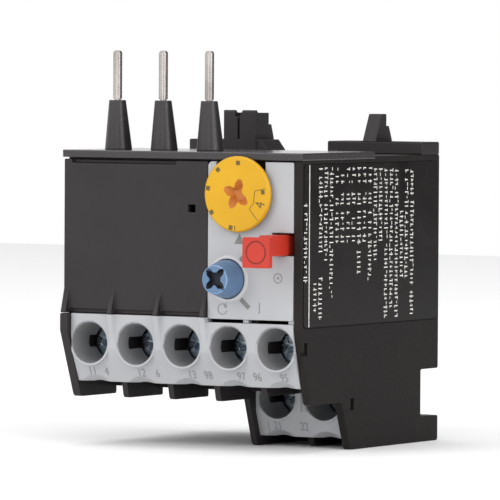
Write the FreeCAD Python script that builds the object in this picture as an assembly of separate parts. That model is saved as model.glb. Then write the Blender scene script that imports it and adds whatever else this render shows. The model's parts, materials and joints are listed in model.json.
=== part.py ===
"""Thermal overload relay with three phase pins, a current dial, a reset knob and a stop button.

Built about the front row of terminals: X runs along the row with 0 on the middle terminal,
Y runs from the front plane to the back, Z runs up with 0 on the axes of the front screws.
Every piece is moved by the datum on export, so the origin of the finished part lies on the
axis of the middle phase pin, where its full round starts just above the sleeve.
"""
import FreeCAD, Part
import math
import os

# ---------------------------------------------------------------- driving dimensions (mm)
terminal_spacing = 8.8         # from terminal to terminal, and from phase pin to phase pin
row_margin = 0.5               # body beyond the row of terminals at each side
phase_count = 3                # poles, counted from the left
front_column_count = 5         # terminals in the front row
lower_column_count = 2         # terminals in the lower row, under the last front ones

body_depth = 45.5              # front plane to back wall
roof_height = 30.3             # seat of the top cap
rear_roof_step = 0.45          # the roof behind the cap stands this much higher
wall = 1.4                     # outer walls
inner_wall = 1.0               # terminal dividers and inner partitions
joint_gap = 0.1                # between shells that close on each other
running_clearance = 0.05       # radial, pins and shafts in their holes
part_clearance = 0.3           # between neighbouring moving pieces
cut_margin = 1.0               # cutters reach this far past the faces that they open
weld_overlap = 0.05            # pieces of one moulding reach this far into each other
fine_round = 0.2               # corner radii of the mouldings
small_round = 0.3
corner_round = 0.4
foot_round = 0.9

cap_thickness = 1.2
cap_overhang = 0.2             # cap over the side walls
cap_front_overhang = 0.4
cap_depth = 24.0               # front to back
cap_rear_round = 0.8           # top rear edge

cover_bottom = 5.5             # lower edge of the black front cover
shroud_top = 4.75              # upper edge of the front terminal shroud
shroud_top_right = 4.0         # the same, below the operator panel
shroud_knee = -0.8             # the shroud face slopes back below this height
shroud_bottom = -6.4
shroud_slope = 0.445           # set-back per mm of height below the knee
shroud_wall = 1.4
finger_slot_inset = 1.5        # shallow slot along the cover's upper edge
finger_slot_end = 6.1
finger_slot_depth = 0.7
finger_slot_height = 0.9
label_inset = 0.6              # from the side cover's front, rear and top edges
label_bottom = 3.5
label_round = 0.8
label_seat = 0.15              # depth of its recess
label_stand = 0.05             # it stands proud by this much
side_pocket_depth = 0.7        # two small pockets in the side cover, their Y and Z limits
side_pockets = [((0.9, 2.1), (-1.0, 1.1)), ((16.0, 17.3), (-10.4, -8.5))]
tab_width = 1.0                # panel's tabs over the shroud
tab_middle = 11.5
window_inset = 2.3             # small window by the dial
window_width = 1.4
window_bottom = 21.7
window_height = 1.2
fin_top = 8.8                  # the dividers grow out of the cover from here down
fin_reach = 1.1                # how far they stand in front of the front plane
fin_knee = 2.0                 # the outer wall slopes back below this height
foot_bottom = -9.05            # lower ends of the dividers
foot_rear = 14.3               # back of the terminal dividers and front of the chamber wall
foot_front = 4.6
short_foot_bottom = -7.9       # divider between the last two front terminals
left_floor = -7.8              # underside of the body on the phase side

funnel_radius = 3.4            # screwdriver funnels, at the mouth
funnel_inner_radius = 2.8      # the same, at the back rim
funnel_depth = 6.6
funnel_lip = 0.25              # bevel round the mouth
funnel_wall = 0.35
window_slot_height = 2.0       # window in the funnel's side wall
window_slot_front = 3.1        # its front end behind the mouth
window_slot_front_end = 4.8    # the same in the first funnel, beside the case wall
window_slot_reach = 1.5        # right of the funnel's narrow end
scallop_radius = 4.7           # arch in the shroud's lower edge over each wire way
scallop_rise = 1.1
scallop_taper = 0.55           # the arch narrows by this much per mm towards the back

tier_front = 15.6              # face of the lower shroud
tier_axis_drop = 8.9           # lower screws below the front ones
tier_bottom = -16.85
tier_knee_drop = 2.1           # its face slopes back this far below its screws
tier_slope = 0.35
tier_shroud_bottom = -15.2
tier_chamber_depth = 15.0      # face of the lower shroud to its chamber wall
notch_top = -4.8               # rear notch, open through both sides
notch_bottom = -12.65
notch_depth = 5.9

pin_setback = 8.5              # phase pins behind the front plane
pin_radius = 0.75
pin_length = 8.2               # bare pin above its sleeve
pin_shoulder_radius = 1.1
pin_shoulder_depth = 1.0       # below the sleeve's top
pin_neck_radius = 0.55         # inside the sleeve's throat
pin_reveal = 0.2               # neck showing above the sleeve
pin_tip_radius = 0.4
sleeve_length = 8.1
sleeve_base_radius = 2.25
sleeve_base_shift = 0.4        # the foot of the sleeve is set back by this much
sleeve_top_radius = 1.38
sleeve_spigot_radius = 1.6

hook_ledge_height = 2.1        # ledges behind the cap that carry the two hooks
ledge_left_width = 15.6        # from the left face to the gap between the ledges
ledge_right_width = 18.1       # from the right face to the gap
ledge_slant = 1.6              # the left ledge is shorter by this much at its top
hook_height = 37.4
hook_barb_height = 35.4
hook_barb = 0.85
hook_top_depth = 1.7
hook_lean = 2.3                # the right hook leans back by this much
hook_right_inset = 11.5        # from the right face to the right hook
hook_width = 2.5
hook_foot_rise = 0.3           # rear foot of a hook above its ledge
claw_inset = 6.9               # from the left face to the left hook
claw_width = 6.15
claw_post = 2.15               # width of its left post, beside the notch
claw_notch_width = 1.0         # at its floor
claw_notch_depth = 1.15
claw_notch_flare = 0.5         # its right side leans out by this much
claw_top_depth = 4.5
claw_height = 37.8
claw_crest = 0.5               # depth of its raised front edge
claw_crest_rise = 0.45
claw_front_gap = 0.3           # in front of its ledge
claw_groove = 0.5              # upright groove below the notch

dial_radius = 6.1
dial_inset = 11.4              # from the right face to the dial's axis
dial_drop = 5.5                # from the roof to the dial's axis
dial_front = -1.35
dial_thickness = 0.75
dial_boss_radius = 4.2
dial_window_radius = 4.6       # cut-out of the operator panel round the dial's boss
dial_shaft_radius = 2.4
dial_turn = 185.0              # degrees
driver_recess_radius = 2.0
driver_recess_depth = 0.6
cam_radius = 2.0
cam_rise = 1.0
cam_thickness = 2.0
cam_front = 22.5
cam_shaft_radius = 1.2

knob_z = 11.1
knob_front = -4.3
knob_front_radius = 2.35
knob_radius = 3.1
knob_back = 0.6
knob_shaft_radius = 1.6
collar_radius = 3.8
collar_height = 0.3
plunger_radius = 2.3
plunger_flange_radius = 3.0
plunger_flange = 1.0
reset_travel = 2.0
cross_arm = 1.1                # width of the arms of the knob's cross recess
cross_span = 3.3
cross_depth = 1.3
spring_wire = 0.25

button_front = -5.8
button_inset = 2.65            # from the right face to the button
button_head_width = 4.95
button_head_bottom = 13.2
button_head_height = 4.9
button_head_thickness = 1.0
button_stem_width = 2.4
button_stem_bottom = 15.1
button_stem_height = 3.3
button_rod_radius = 1.2
button_flange_rear = 6.0
button_travel = 2.0
button_ring_radius = 1.95
button_ring_width = 0.25
button_ring_depth = 0.2
button_slot_inset = 5.55       # from the right face to the slot's left end
button_slot_top = 18.7

plate_front = 14.0             # inner plate that guides the dial shaft, plunger and rod
plate_thickness = 1.5

screw_head_radius = 2.6
screw_head_thickness = 2.0
screw_head_front = 6.75
screw_radius = 1.5
screw_end = 14.0
clamp_side = 6.2
clamp_thickness = 1.0
terminal_front = 11.0
terminal_thickness = 1.2
terminal_half_width = 3.0
terminal_height = 3.4
auxiliary_foot = 4.0           # foot of a front auxiliary terminal behind the chamber wall

bimetal_y = 26.0
bimetal_thickness = 0.8
bimetal_width = 4.0
bimetal_pivot = 4.0
bimetal_top = 24.6
heater_bottom = 5.0
heater_turns = 9
heater_spacing = 1.35
heater_turn_height = 0.8
slide_bottom = 20.0
slide_thickness = 1.8
slide_spacing = 2.2
slide_depth = 6.0
slide_reach = 6.0              # slides beyond the last phase column
slide_travel = 1.6
slide_overhang = 3.0           # beyond the first phase column
slide_window = (2.5, 5.0)      # openings between the columns, counted from each of them
slide_rail = 1.2               # left in front of them and behind
lead_y = 21.0                  # where the pin's lead turns down towards its heater
lead_drop = 4.1                # from the roof to the underside of the pin's lead
lead_thickness = 1.2
lead_bottom = 17.0
lead_half_width = 1.2

lever_inset = 10.1             # pivots, from the right face
lever_z = 14.0
rocker_inset = 5.1
rocker_z = 10.6
adjuster_inset = 5.3
adjuster_drop = 4.2            # below the dial's axis
hub_radius = 1.5
carrier_half_height = 1.2
lever_arm = 3.0                # from the lever's pin to the rocker's end
lever_arm_half_height = 0.6
lever_nose_width = 0.7
lever_nose_drop = 1.3
rocker_arm_height = 0.9
rocker_stem_half_width = 0.7
leaf_depth = 4.4               # height of the leaf above the contact rivets
bridge_half_height = 1.2
pivot_pin_radius = 0.75
mechanism_front = 25.5         # levers lie behind this plane
mechanism_width = 4.0
strip_gap = 2.4                # from the slides' ends to the strip
strip_thickness = 0.6
strip_inset = 0.6              # behind the front of the levers
strip_overhang = 1.0           # behind their back, under the differential lever's nose
strip_foot = 2.0               # below the trip lever's pin
strip_head = 1.6               # above the differential lever's nose
contact_z = 3.4
rivet_radius = 0.9
rivet_height = 0.5
leaf_thickness = 0.4
bridge_spacing = 6.0           # the two contact points of the bridge

# ---------------------------------------------------------------- derived places
half_width = front_column_count * terminal_spacing / 2 + row_margin
left_face = -half_width
inner_left = left_face + wall
columns = [terminal_spacing * (index - (front_column_count - 1) / 2) for index in range(front_column_count)]
phase_columns = columns[:phase_count]
lower_columns = columns[-lower_column_count:]
front_dividers = [column + terminal_spacing / 2 for column in columns[:-1]]
cover_right = front_dividers[phase_count - 1] + inner_wall / 2
cover_inner = half_width - wall
inner_right = cover_inner - joint_gap
roof_top = roof_height + rear_roof_step
roof_under = roof_height - wall
cap_top = roof_height + cap_thickness
cap_front = -cap_front_overhang
cap_rear = cap_front + cap_depth
rear_inner = body_depth - wall
notch_front = body_depth - notch_depth
tier_axis = -tier_axis_drop
tier_wall_front = tier_front + tier_chamber_depth
tier_left = cover_right - inner_wall
tier_roof_top = -3.6
chamber_roof = shroud_top + part_clearance
chamber_roof_top = chamber_roof + inner_wall
chamber_wall_rear = foot_rear + inner_wall
sleeve_top = cap_top + sleeve_length
pin_base = sleeve_top + pin_reveal
pin_tip = sleeve_top + pin_length
ledge_top = roof_top + hook_ledge_height
ledge_front = notch_front
hook_right_x = half_width - hook_right_inset
claw_left_x = left_face + claw_inset
claw_notch_x = claw_left_x + claw_post
dial_x = half_width - dial_inset
knob_x = columns[phase_count]
dial_z = roof_height - dial_drop
adjuster_z = dial_z - adjuster_drop
lead_z = roof_height - lead_drop
button_head_right = half_width - button_inset
button_head_left = button_head_right - button_head_width
button_slot_left = half_width - button_slot_inset
slide_right = phase_columns[-1] + slide_reach
lever_x = half_width - lever_inset
rocker_x = half_width - rocker_inset
adjuster_x = half_width - adjuster_inset
strip_x = slide_right + strip_gap
plate_rear = plate_front + plate_thickness
plunger_end = plate_rear + reset_travel + 2.0
knob_shaft_end = plunger_end - 2.5
button_rod_end = plate_rear + button_travel + 1.0
lever_y = (mechanism_front, mechanism_front + mechanism_width)
nose_height = slide_bottom + (slide_spacing + slide_thickness) / 2
trip_angle = slide_travel / (nose_height - lever_z)
contact_swing = trip_angle * (rocker_z - contact_z)
datum = FreeCAD.Vector(phase_columns[1], pin_setback, pin_base)


# ---------------------------------------------------------------- building blocks
def vector(x, y, z):
    """Point or direction."""
    return FreeCAD.Vector(x, y, z)


def box(x_range, y_range, z_range):
    """Block between three pairs of limits."""
    size = [limits[1] - limits[0] for limits in (x_range, y_range, z_range)]
    return Part.makeBox(*size, vector(x_range[0], y_range[0], z_range[0]))


def rod_y(radius, x, z, y_range):
    """Round rod along Y."""
    return Part.makeCylinder(radius, y_range[1] - y_range[0], vector(x, y_range[0], z), vector(0, 1, 0))


def rod_x(radius, y, z, x_range):
    """Round rod along X."""
    return Part.makeCylinder(radius, x_range[1] - x_range[0], vector(x_range[0], y, z), vector(1, 0, 0))


def rod_z(radius, x, y, z_range):
    """Upright round rod."""
    return Part.makeCylinder(radius, z_range[1] - z_range[0], vector(x, y, z_range[0]), vector(0, 0, 1))


def cone_y(radii, x, z, y_range):
    """Round taper along Y."""
    length = y_range[1] - y_range[0]
    return Part.makeCone(radii[0], radii[1], length, vector(x, y_range[0], z), vector(0, 1, 0))


def rounded_wire(corners):
    """Closed flat wire through (point, radius) corners, each turned by a tangent arc."""
    starts, ends, edges = [], [], []
    for index, (point, radius) in enumerate(corners):
        before = (corners[index - 1][0] - point).normalize()
        after = (corners[(index + 1) % len(corners)][0] - point).normalize()
        if radius <= 0:
            starts.append(point)
            ends.append(point)
            continue
        half_angle = before.getAngle(after) / 2
        setback = radius / math.tan(half_angle)
        centre = point + (before + after).normalize() * (radius / math.sin(half_angle))
        start, end = point + before * setback, point + after * setback
        middle = centre + (point - centre).normalize() * radius
        edges.append((index, Part.Arc(start, middle, end).toShape()))
        starts.append(start)
        ends.append(end)
    for index in range(len(corners)):
        following = starts[(index + 1) % len(corners)]
        if ends[index].distanceToPoint(following) > 1e-6:
            edges.append((index + 0.5, Part.LineSegment(ends[index], following).toShape()))
    edges.sort(key=lambda item: item[0])
    return Part.Wire([edge for _, edge in edges])


def side_plate(outline, x_range):
    """Plate across X from an outline of (y, z, corner radius) points."""
    corners = [(vector(x_range[0], y, z), radius) for y, z, radius in outline]
    return Part.Face(rounded_wire(corners)).extrude(vector(x_range[1] - x_range[0], 0, 0))


def front_plate(outline, y_range):
    """Plate along Y from an outline of (x, z, corner radius) points."""
    corners = [(vector(x, y_range[0], z), radius) for x, z, radius in outline]
    return Part.Face(rounded_wire(corners)).extrude(vector(0, y_range[1] - y_range[0], 0))


def flat_plate(outline, z_range):
    """Level plate from an outline of (x, y, corner radius) points."""
    corners = [(vector(x, y, z_range[0]), radius) for x, y, radius in outline]
    return Part.Face(rounded_wire(corners)).extrude(vector(0, 0, z_range[1] - z_range[0]))


def rectangle(low, high, radius=0.0):
    """Outline of an upright rectangle with equal corners."""
    return [(low[0], low[1], radius), (high[0], low[1], radius),
            (high[0], high[1], radius), (low[0], high[1], radius)]


def turned_y(profile, x, z):
    """Solid turned about an axis along Y from (radius, y) points."""
    points = [vector(x + radius, y, z) for radius, y in profile]
    face = Part.Face(Part.makePolygon(points + points[:1]))
    return face.revolve(vector(x, 0, z), vector(0, 1, 0), 360)


def turned_z(profile, x, y):
    """Solid turned about an upright axis from (radius, z) points."""
    points = [vector(x + radius, y, z) for radius, z in profile]
    face = Part.Face(Part.makePolygon(points + points[:1]))
    return face.revolve(vector(x, y, 0), vector(0, 0, 1), 360)


def joined(pieces):
    """One solid from pieces that meet."""
    return pieces[0].multiFuse(pieces[1:]).removeSplitter()


def coil(radius, x, z, y_range, turns):
    """Coil spring along Y, of six-sided wire, whose ends stop half a wire inside the limits."""
    half_wire = spring_wire / 2
    length = y_range[1] - y_range[0] - spring_wire
    helix = Part.makeHelix(length / turns, length, radius)
    corners = [vector(radius + half_wire * math.cos(math.radians(60 * side)), 0,
                      half_wire * math.sin(math.radians(60 * side))) for side in range(6)]
    profile = Part.makePolygon(corners + corners[:1])
    spring = Part.Wire(helix.Edges).makePipeShell([profile], True, False)
    spring.rotate(vector(0, 0, 0), vector(1, 0, 0), -90)
    spring.translate(vector(x, y_range[0] + half_wire, z))
    return spring


# ---------------------------------------------------------------- shells
def left_outline():
    """Outline of the left wall, below and behind the front cover."""
    return [(wall + joint_gap, roof_height, 0), (wall + joint_gap, shroud_top, 0),
            (-fin_reach, shroud_top, small_round), (-fin_reach, fin_knee, 1.2),
            (foot_front - wall, foot_bottom, foot_round), (foot_rear, foot_bottom, corner_round),
            (foot_rear, left_floor, 0), (notch_front, left_floor, 0.5),
            (notch_front, notch_top, 0), (body_depth, notch_top, corner_round),
            (body_depth, roof_top, corner_round), (cap_rear + joint_gap, roof_top, 0),
            (cap_rear + joint_gap, roof_height, 0)]


def right_outline():
    """Outline of the side cover, with the lower row of terminals and the rear notch."""
    tier_front_low = tier_front + 0.1
    return [(0.0, roof_height, fine_round), (0.0, 3.0, 3.0), (3.1, foot_bottom, foot_round),
            (tier_front - 2.4, foot_bottom, 0), (tier_front_low, tier_bottom + 1.4, 4.0),
            (tier_front_low + 0.5, tier_bottom, foot_round), (body_depth, tier_bottom, 0.5),
            (body_depth, notch_bottom, corner_round), (notch_front, notch_bottom, corner_round),
            (notch_front, notch_top, corner_round), (body_depth, notch_top, corner_round),
            (body_depth, roof_top, corner_round), (cap_rear + joint_gap, roof_top, 0),
            (cap_rear + joint_gap, roof_height, 0)]


def foot_outline(bottom, top):
    """Outline of a divider between two front terminals."""
    back_of_shroud = shroud_wall + joint_gap
    run = shroud_slope * (shroud_knee - shroud_bottom)
    return [(back_of_shroud, top, 0), (back_of_shroud, shroud_knee, 0),
            (back_of_shroud + run, shroud_bottom, 0), (foot_front, bottom, 0.7),
            (foot_rear + inner_wall, bottom, small_round), (foot_rear + inner_wall, top, 0)]


def tier_wall_outline(front, top):
    """Outline of a divider of the lower row, which runs back to the notch."""
    slope_end = front + tier_slope * (tier_axis - tier_bottom)
    return [(front, top, 0), (front, tier_axis, 0), (slope_end, tier_bottom, 1.0),
            (notch_front, tier_bottom, 0), (notch_front, top, 0)]


def make_housing():
    """Open moulded case: walls, roof, terminal chambers, dividers, lower tier and barriers."""
    full = (left_face, inner_right)
    tier = (tier_left, inner_right)
    pieces = [
        side_plate(left_outline(), (left_face, inner_left)),
        box(full, (wall + joint_gap, body_depth), (roof_under, roof_height)),
        box(full, (cap_rear + joint_gap, body_depth), (roof_under, roof_top)),
        box(full, (rear_inner, body_depth), (notch_top, roof_height)),
        box(full, (notch_front - wall, body_depth), (notch_top, notch_top + wall)),
        box(full, (notch_front - wall, notch_front), (left_floor, notch_top + wall)),
        box((left_face, cover_right), (foot_rear, notch_front), (left_floor, left_floor + wall)),
        box(full, (foot_rear, chamber_wall_rear), (left_floor, chamber_roof_top)),
        box(full, (wall + joint_gap, chamber_wall_rear), (chamber_roof, chamber_roof_top)),
        box(tier, (chamber_wall_rear - 0.1, notch_front), (tier_roof_top - inner_wall, tier_roof_top)),
        box(tier, (tier_wall_front, tier_wall_front + inner_wall), (tier_bottom, tier_roof_top)),
        box(tier, (tier_wall_front, notch_front), (tier_bottom, tier_bottom + wall)),
        box(tier, (notch_front - wall, notch_front), (tier_bottom, left_floor)),
        box(tier, (notch_front - wall, body_depth), (tier_bottom, notch_bottom)),
        side_plate(tier_wall_outline(tier_front - 2.1, tier_roof_top), (tier_left, cover_right)),
    ]
    pieces += make_dividers()
    housing = joined(pieces)
    through_roof = (roof_under - cut_margin, roof_height + cut_margin)
    cuts = [rod_z(sleeve_spigot_radius + joint_gap, x, pin_setback, through_roof)
            for x in phase_columns]
    cuts += [terminal_slot(x, 0.0, foot_rear) for x in columns]
    cuts += [terminal_slot(x, tier_axis, tier_wall_front) for x in lower_columns]
    return housing.cut(cuts)


def make_dividers():
    """Thin walls between the terminals and, behind them, between the poles."""
    pieces = []
    for x in front_dividers:
        short = x > cover_right
        bottom = short_foot_bottom if short else foot_bottom
        across = (x - inner_wall / 2, x + inner_wall / 2)
        pieces.append(side_plate(foot_outline(bottom, chamber_roof), across))
        if short:
            behind_shroud = tier_front + shroud_wall + joint_gap
            pieces.append(side_plate(tier_wall_outline(behind_shroud, tier_roof_top), across))
        else:
            barrier_top = slide_bottom - joint_gap
            pieces.append(box(across, (chamber_wall_rear, notch_front - wall),
                              (left_floor, barrier_top)))
    return pieces


def terminal_slot(x, axis_height, y):
    """Slot through a chamber wall for the foot of one terminal."""
    half = terminal_half_width + joint_gap
    top = axis_height + terminal_height + joint_gap
    return box((x - half, x + half), (y - cut_margin, y + inner_wall + cut_margin),
               (top - terminal_thickness - 2 * joint_gap, top))


def make_side_cover():
    """Flat moulded cover that closes the right side, with the recess for its label."""
    cover = side_plate(right_outline(), (cover_inner, half_width))
    label = label_solid(half_width - label_seat, half_width + cut_margin, joint_gap)
    pocket = (half_width - side_pocket_depth, half_width + cut_margin)
    pockets = [box(pocket, y_range, z_range) for y_range, z_range in side_pockets]
    return cover.cut([label] + pockets)


def label_solid(x_low, x_high, margin):
    """Thin panel on the side cover, grown by a margin for its recess."""
    low = (label_inset - margin, label_bottom - margin)
    high = (body_depth - label_inset + margin, roof_height - label_inset + margin)
    return side_plate(rectangle(low, high, label_round), (x_low, x_high))


def make_front_cover():
    """Black front plate with the fins that lead down to the terminal dividers."""
    plate = box((left_face, cover_right), (0.0, wall), (cover_bottom, roof_height - part_clearance))
    lip = box((left_face, cover_right), (0.5, wall), (shroud_top + joint_gap, cover_bottom))
    fins = []
    for x in [left_face + inner_wall / 2] + front_dividers[:phase_count]:
        outline = [(0.6, fin_top, 0), (0.0, fin_top, 0), (-fin_reach, shroud_top + joint_gap, 0),
                   (0.6, shroud_top + joint_gap, 0)]
        fins.append(side_plate(outline, (x - inner_wall / 2, x + inner_wall / 2)))
    cover = joined([plate, lip] + fins)
    finger_slot = box((left_face + finger_slot_inset, cover_right - finger_slot_end),
                      (-cut_margin, finger_slot_depth), (roof_height - finger_slot_height, roof_height))
    window_right = cover_right - window_inset
    window = box((window_right - window_width, window_right), (-cut_margin, wall + cut_margin),
                 (window_bottom, window_bottom + window_height))
    return cover.cut([finger_slot, window])


def make_operator_panel():
    """Light panel with the dial window, the button slot and the knob's collar."""
    left, right = cover_right + joint_gap, inner_right - 0.05
    bottom, top = shroud_top_right + 0.6, roof_height - part_clearance
    panel = front_plate([(left, bottom, small_round), (right, bottom, small_round), (right, top, small_round),
                         (left, top, 0.8)], (0.0, wall))
    tabs = [box((x, x + tab_width), (part_clearance, wall), (shroud_top_right + weld_overlap, bottom + 0.5))
            for x in (tab_middle, right - tab_width)]
    collar = cone_y((collar_radius - 0.15, collar_radius), knob_x, knob_z, (-collar_height, 0.1))
    panel = joined([panel, collar] + tabs)
    window = rod_y(dial_window_radius, dial_x, dial_z, (-cut_margin, wall + cut_margin))
    gate = front_plate([(dial_x - dial_window_radius, dial_z, 0), (dial_x + dial_window_radius, dial_z, 0),
                        (dial_x + dial_window_radius, top + 1, 0), (dial_x - dial_window_radius, top + 1, 0)],
                       (-cut_margin, wall + cut_margin))
    slot = box((button_slot_left, right + 1), (-cut_margin, wall + cut_margin),
               (button_stem_bottom - joint_gap, button_slot_top))
    hole = rod_y(knob_radius + 0.15, knob_x, knob_z, (-cut_margin, wall + cut_margin))
    return panel.cut([window, gate, slot, hole])


def funnel_outer(x, z, front):
    """Outside of one screwdriver funnel."""
    radii = (funnel_radius + funnel_wall, funnel_inner_radius + 1.6 * funnel_wall)
    return cone_y(radii, x, z, (front + 0.2, front + funnel_depth))


def funnel_cuts(x, z, front):
    """Bore, mouth bevel and side window of one funnel."""
    mouth = funnel_radius + funnel_lip
    side = (x - funnel_radius - 2 * funnel_wall, x - funnel_inner_radius + window_slot_reach)
    height = window_slot_height / 2
    slot_front = window_slot_front_end if x == columns[0] else window_slot_front
    end = front + funnel_depth
    return [
        cone_y((funnel_radius, funnel_inner_radius), x, z, (front, end)),
        cone_y((mouth + weld_overlap, funnel_radius), x, z, (front - weld_overlap, front + funnel_lip)),
        rod_y(mouth, x, z, (front - 2 * cut_margin, front)),
        rod_y(funnel_inner_radius, x, z, (end - weld_overlap, end + cut_margin)),
        box(side, (front + slot_front, end + cut_margin), (z - height, z + height)),
    ]


def shroud_outline(front, top, knee, bottom, slope):
    """Outline of a shroud's face, upright above the knee and sloping back below it."""
    run = slope * (knee - bottom)
    return [(front, top, fine_round), (front, knee, 1.5), (front + run, bottom, fine_round),
            (front + run + shroud_wall, bottom, fine_round), (front + shroud_wall, knee, 0),
            (front + shroud_wall, top, fine_round)]


def scallop(x, edge, lip_front):
    """Arch over one wire way: a cone that is widest at the shroud's face."""
    before, behind = 2.0, 4.0
    radii = (scallop_radius + before * scallop_taper, scallop_radius - behind * scallop_taper)
    return cone_y(radii, x, edge + scallop_rise - scallop_radius, (lip_front - before, lip_front + behind))


def ridge(x):
    """Soft rib that carries a fin of the front cover on down the shroud."""
    def section(z, reach):
        points = [vector(x - 1.1, 0.3, z), vector(x - 0.45, -reach, z),
                  vector(x + 0.45, -reach, z), vector(x + 1.1, 0.3, z)]
        return Part.makePolygon(points + points[:1])
    return Part.makeLoft([section(shroud_top, fin_reach - 0.1), section(shroud_knee, -0.2)], True, True)


def make_front_shroud():
    """Light shroud with one funnel for each front terminal."""
    outline = shroud_outline(0.0, shroud_top, shroud_knee, shroud_bottom, shroud_slope)
    across = (inner_left + joint_gap / 2, inner_right)
    pieces = [side_plate(outline, across)]
    pieces += [funnel_outer(x, 0.0, 0.0) for x in columns]
    pieces += [ridge(x) for x in front_dividers[:phase_count]]
    cuts = [box((cover_right + 0.05, half_width), (-2, 3), (shroud_top_right, shroud_top + 1))]
    lip_front = shroud_slope * (shroud_knee - shroud_bottom - scallop_rise)
    for x in columns:
        cuts += funnel_cuts(x, 0.0, 0.0)
        cuts.append(scallop(x, shroud_bottom, lip_front))
    return joined(pieces).cut(cuts).common(box(across, (-2, funnel_depth), (shroud_bottom, shroud_top)))


def make_lower_shroud():
    """Light shroud of the lower row, with a thin rib between its two funnels."""
    knee = tier_axis - tier_knee_drop
    top = tier_axis + funnel_radius - 0.2
    outline = shroud_outline(tier_front, top, knee, tier_shroud_bottom, tier_slope)
    across = (cover_right + joint_gap / 2, inner_right)
    pieces = [side_plate(outline, across)]
    pieces += [funnel_outer(x, tier_axis, tier_front) for x in lower_columns]
    rib_x = lower_columns[0] + terminal_spacing / 2
    pieces.append(box((rib_x - 0.4, rib_x + 0.4), (tier_front - 0.3, tier_front + 1), (knee, top)))
    cuts = []
    lip_front = tier_front + tier_slope * (knee - tier_shroud_bottom - scallop_rise)
    for x in lower_columns:
        cuts += funnel_cuts(x, tier_axis, tier_front)
        cuts.append(scallop(x, tier_shroud_bottom, lip_front))
    limits = box(across, (tier_front - 2, tier_front + funnel_depth), (tier_shroud_bottom, top))
    return joined(pieces).cut(cuts).common(limits)


def make_top_cap():
    """Flat cap over the front half of the roof, pierced by the pin sleeves."""
    reach = half_width + cap_overhang
    outline = [(-reach, cap_front, corner_round), (reach, cap_front, corner_round),
               (reach, cap_rear, corner_round), (-reach, cap_rear, corner_round)]
    profile = [(cap_front, roof_height, 0), (cap_front, cap_top, 0),
               (cap_rear, cap_top, cap_rear_round), (cap_rear, roof_height, 0)]
    cap = flat_plate(outline, (roof_height, cap_top)).common(side_plate(profile, (-reach, reach)))
    through_cap = (roof_height - cut_margin, cap_top + cut_margin)
    holes = [rod_z(sleeve_spigot_radius + joint_gap, x, pin_setback, through_cap)
             for x in phase_columns]
    return cap.cut(holes)


def ledge(x_range, slant):
    """Raised ledge on the roof's rear edge, whose right end leans in by a given slant."""
    left, right = x_range
    outline = [(left, roof_top, 0), (right, roof_top, 0), (right - slant, ledge_top, small_round),
               (left, ledge_top, small_round)]
    return front_plate(outline, (ledge_front, body_depth))


def make_hook_left():
    """Left ledge with the double-posted hook."""
    base = ledge((left_face, left_face + ledge_left_width), ledge_slant)
    front = ledge_front - claw_front_gap
    back = front + claw_top_depth
    crest = front + claw_crest
    rear_height = claw_height - claw_crest_rise
    root = roof_top + weld_overlap
    outline = [(front, root, 0), (front, claw_height, small_round), (crest, claw_height, 0),
               (crest + claw_crest_rise, rear_height, 0), (back, rear_height, fine_round),
               (back, hook_barb_height, 0), (back + hook_barb, hook_barb_height, fine_round),
               (body_depth, ledge_top + hook_foot_rise, 0), (body_depth, root, 0)]
    claw = side_plate(outline, (claw_left_x, claw_left_x + claw_width))
    notch_right = claw_notch_x + claw_notch_width
    notch_floor = claw_height - claw_notch_depth
    above = claw_height + cut_margin
    notch = front_plate([(claw_notch_x, notch_floor, fine_round), (notch_right, notch_floor, fine_round),
                         (notch_right + claw_notch_flare, claw_height, 0), (notch_right + claw_notch_flare, above, 0),
                         (claw_notch_x, above, 0)], (front - cut_margin, body_depth))
    groove = box((notch_right - claw_groove, notch_right), (front - cut_margin, front + claw_groove),
                 (ledge_top, above))
    return joined([base, claw]).cut([notch, groove])


def make_hook_right():
    """Right ledge with the single leaning hook."""
    base = ledge((half_width - ledge_right_width, half_width), 0)
    front = ledge_front + hook_lean
    back = front + hook_top_depth
    root = ledge_top - small_round
    outline = [(ledge_front, root, 0), (front, hook_height, fine_round), (back, hook_height, fine_round),
               (back, hook_barb_height, 0), (back + hook_barb, hook_barb_height, fine_round),
               (body_depth, ledge_top + hook_foot_rise, 0), (body_depth, root, 0)]
    hook = side_plate(outline, (hook_right_x, hook_right_x + hook_width))
    return joined([base, hook])


# ---------------------------------------------------------------- phase path
def make_sleeve(x):
    """Tapered sleeve round a phase pin, with a spigot through the cap and the roof."""
    spigot_bottom = roof_under + joint_gap
    bore = pin_shoulder_radius + running_clearance
    throat = pin_radius + running_clearance
    throat_start = sleeve_top - pin_shoulder_depth
    up = vector(0, 0, 1)
    foot = Part.Wire(Part.makeCircle(sleeve_base_radius, vector(x, pin_setback + sleeve_base_shift, cap_top), up))
    head = Part.Wire(Part.makeCircle(sleeve_top_radius, vector(x, pin_setback, sleeve_top), up))
    body = Part.makeLoft([foot, head], True)
    spigot = rod_z(sleeve_spigot_radius, x, pin_setback, (spigot_bottom, cap_top + weld_overlap))
    hollow = [rod_z(bore, x, pin_setback, (spigot_bottom - cut_margin, throat_start)),
              rod_z(throat, x, pin_setback, (throat_start - cut_margin, sleeve_top + cut_margin))]
    return joined([body, spigot]).cut(hollow)


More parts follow.
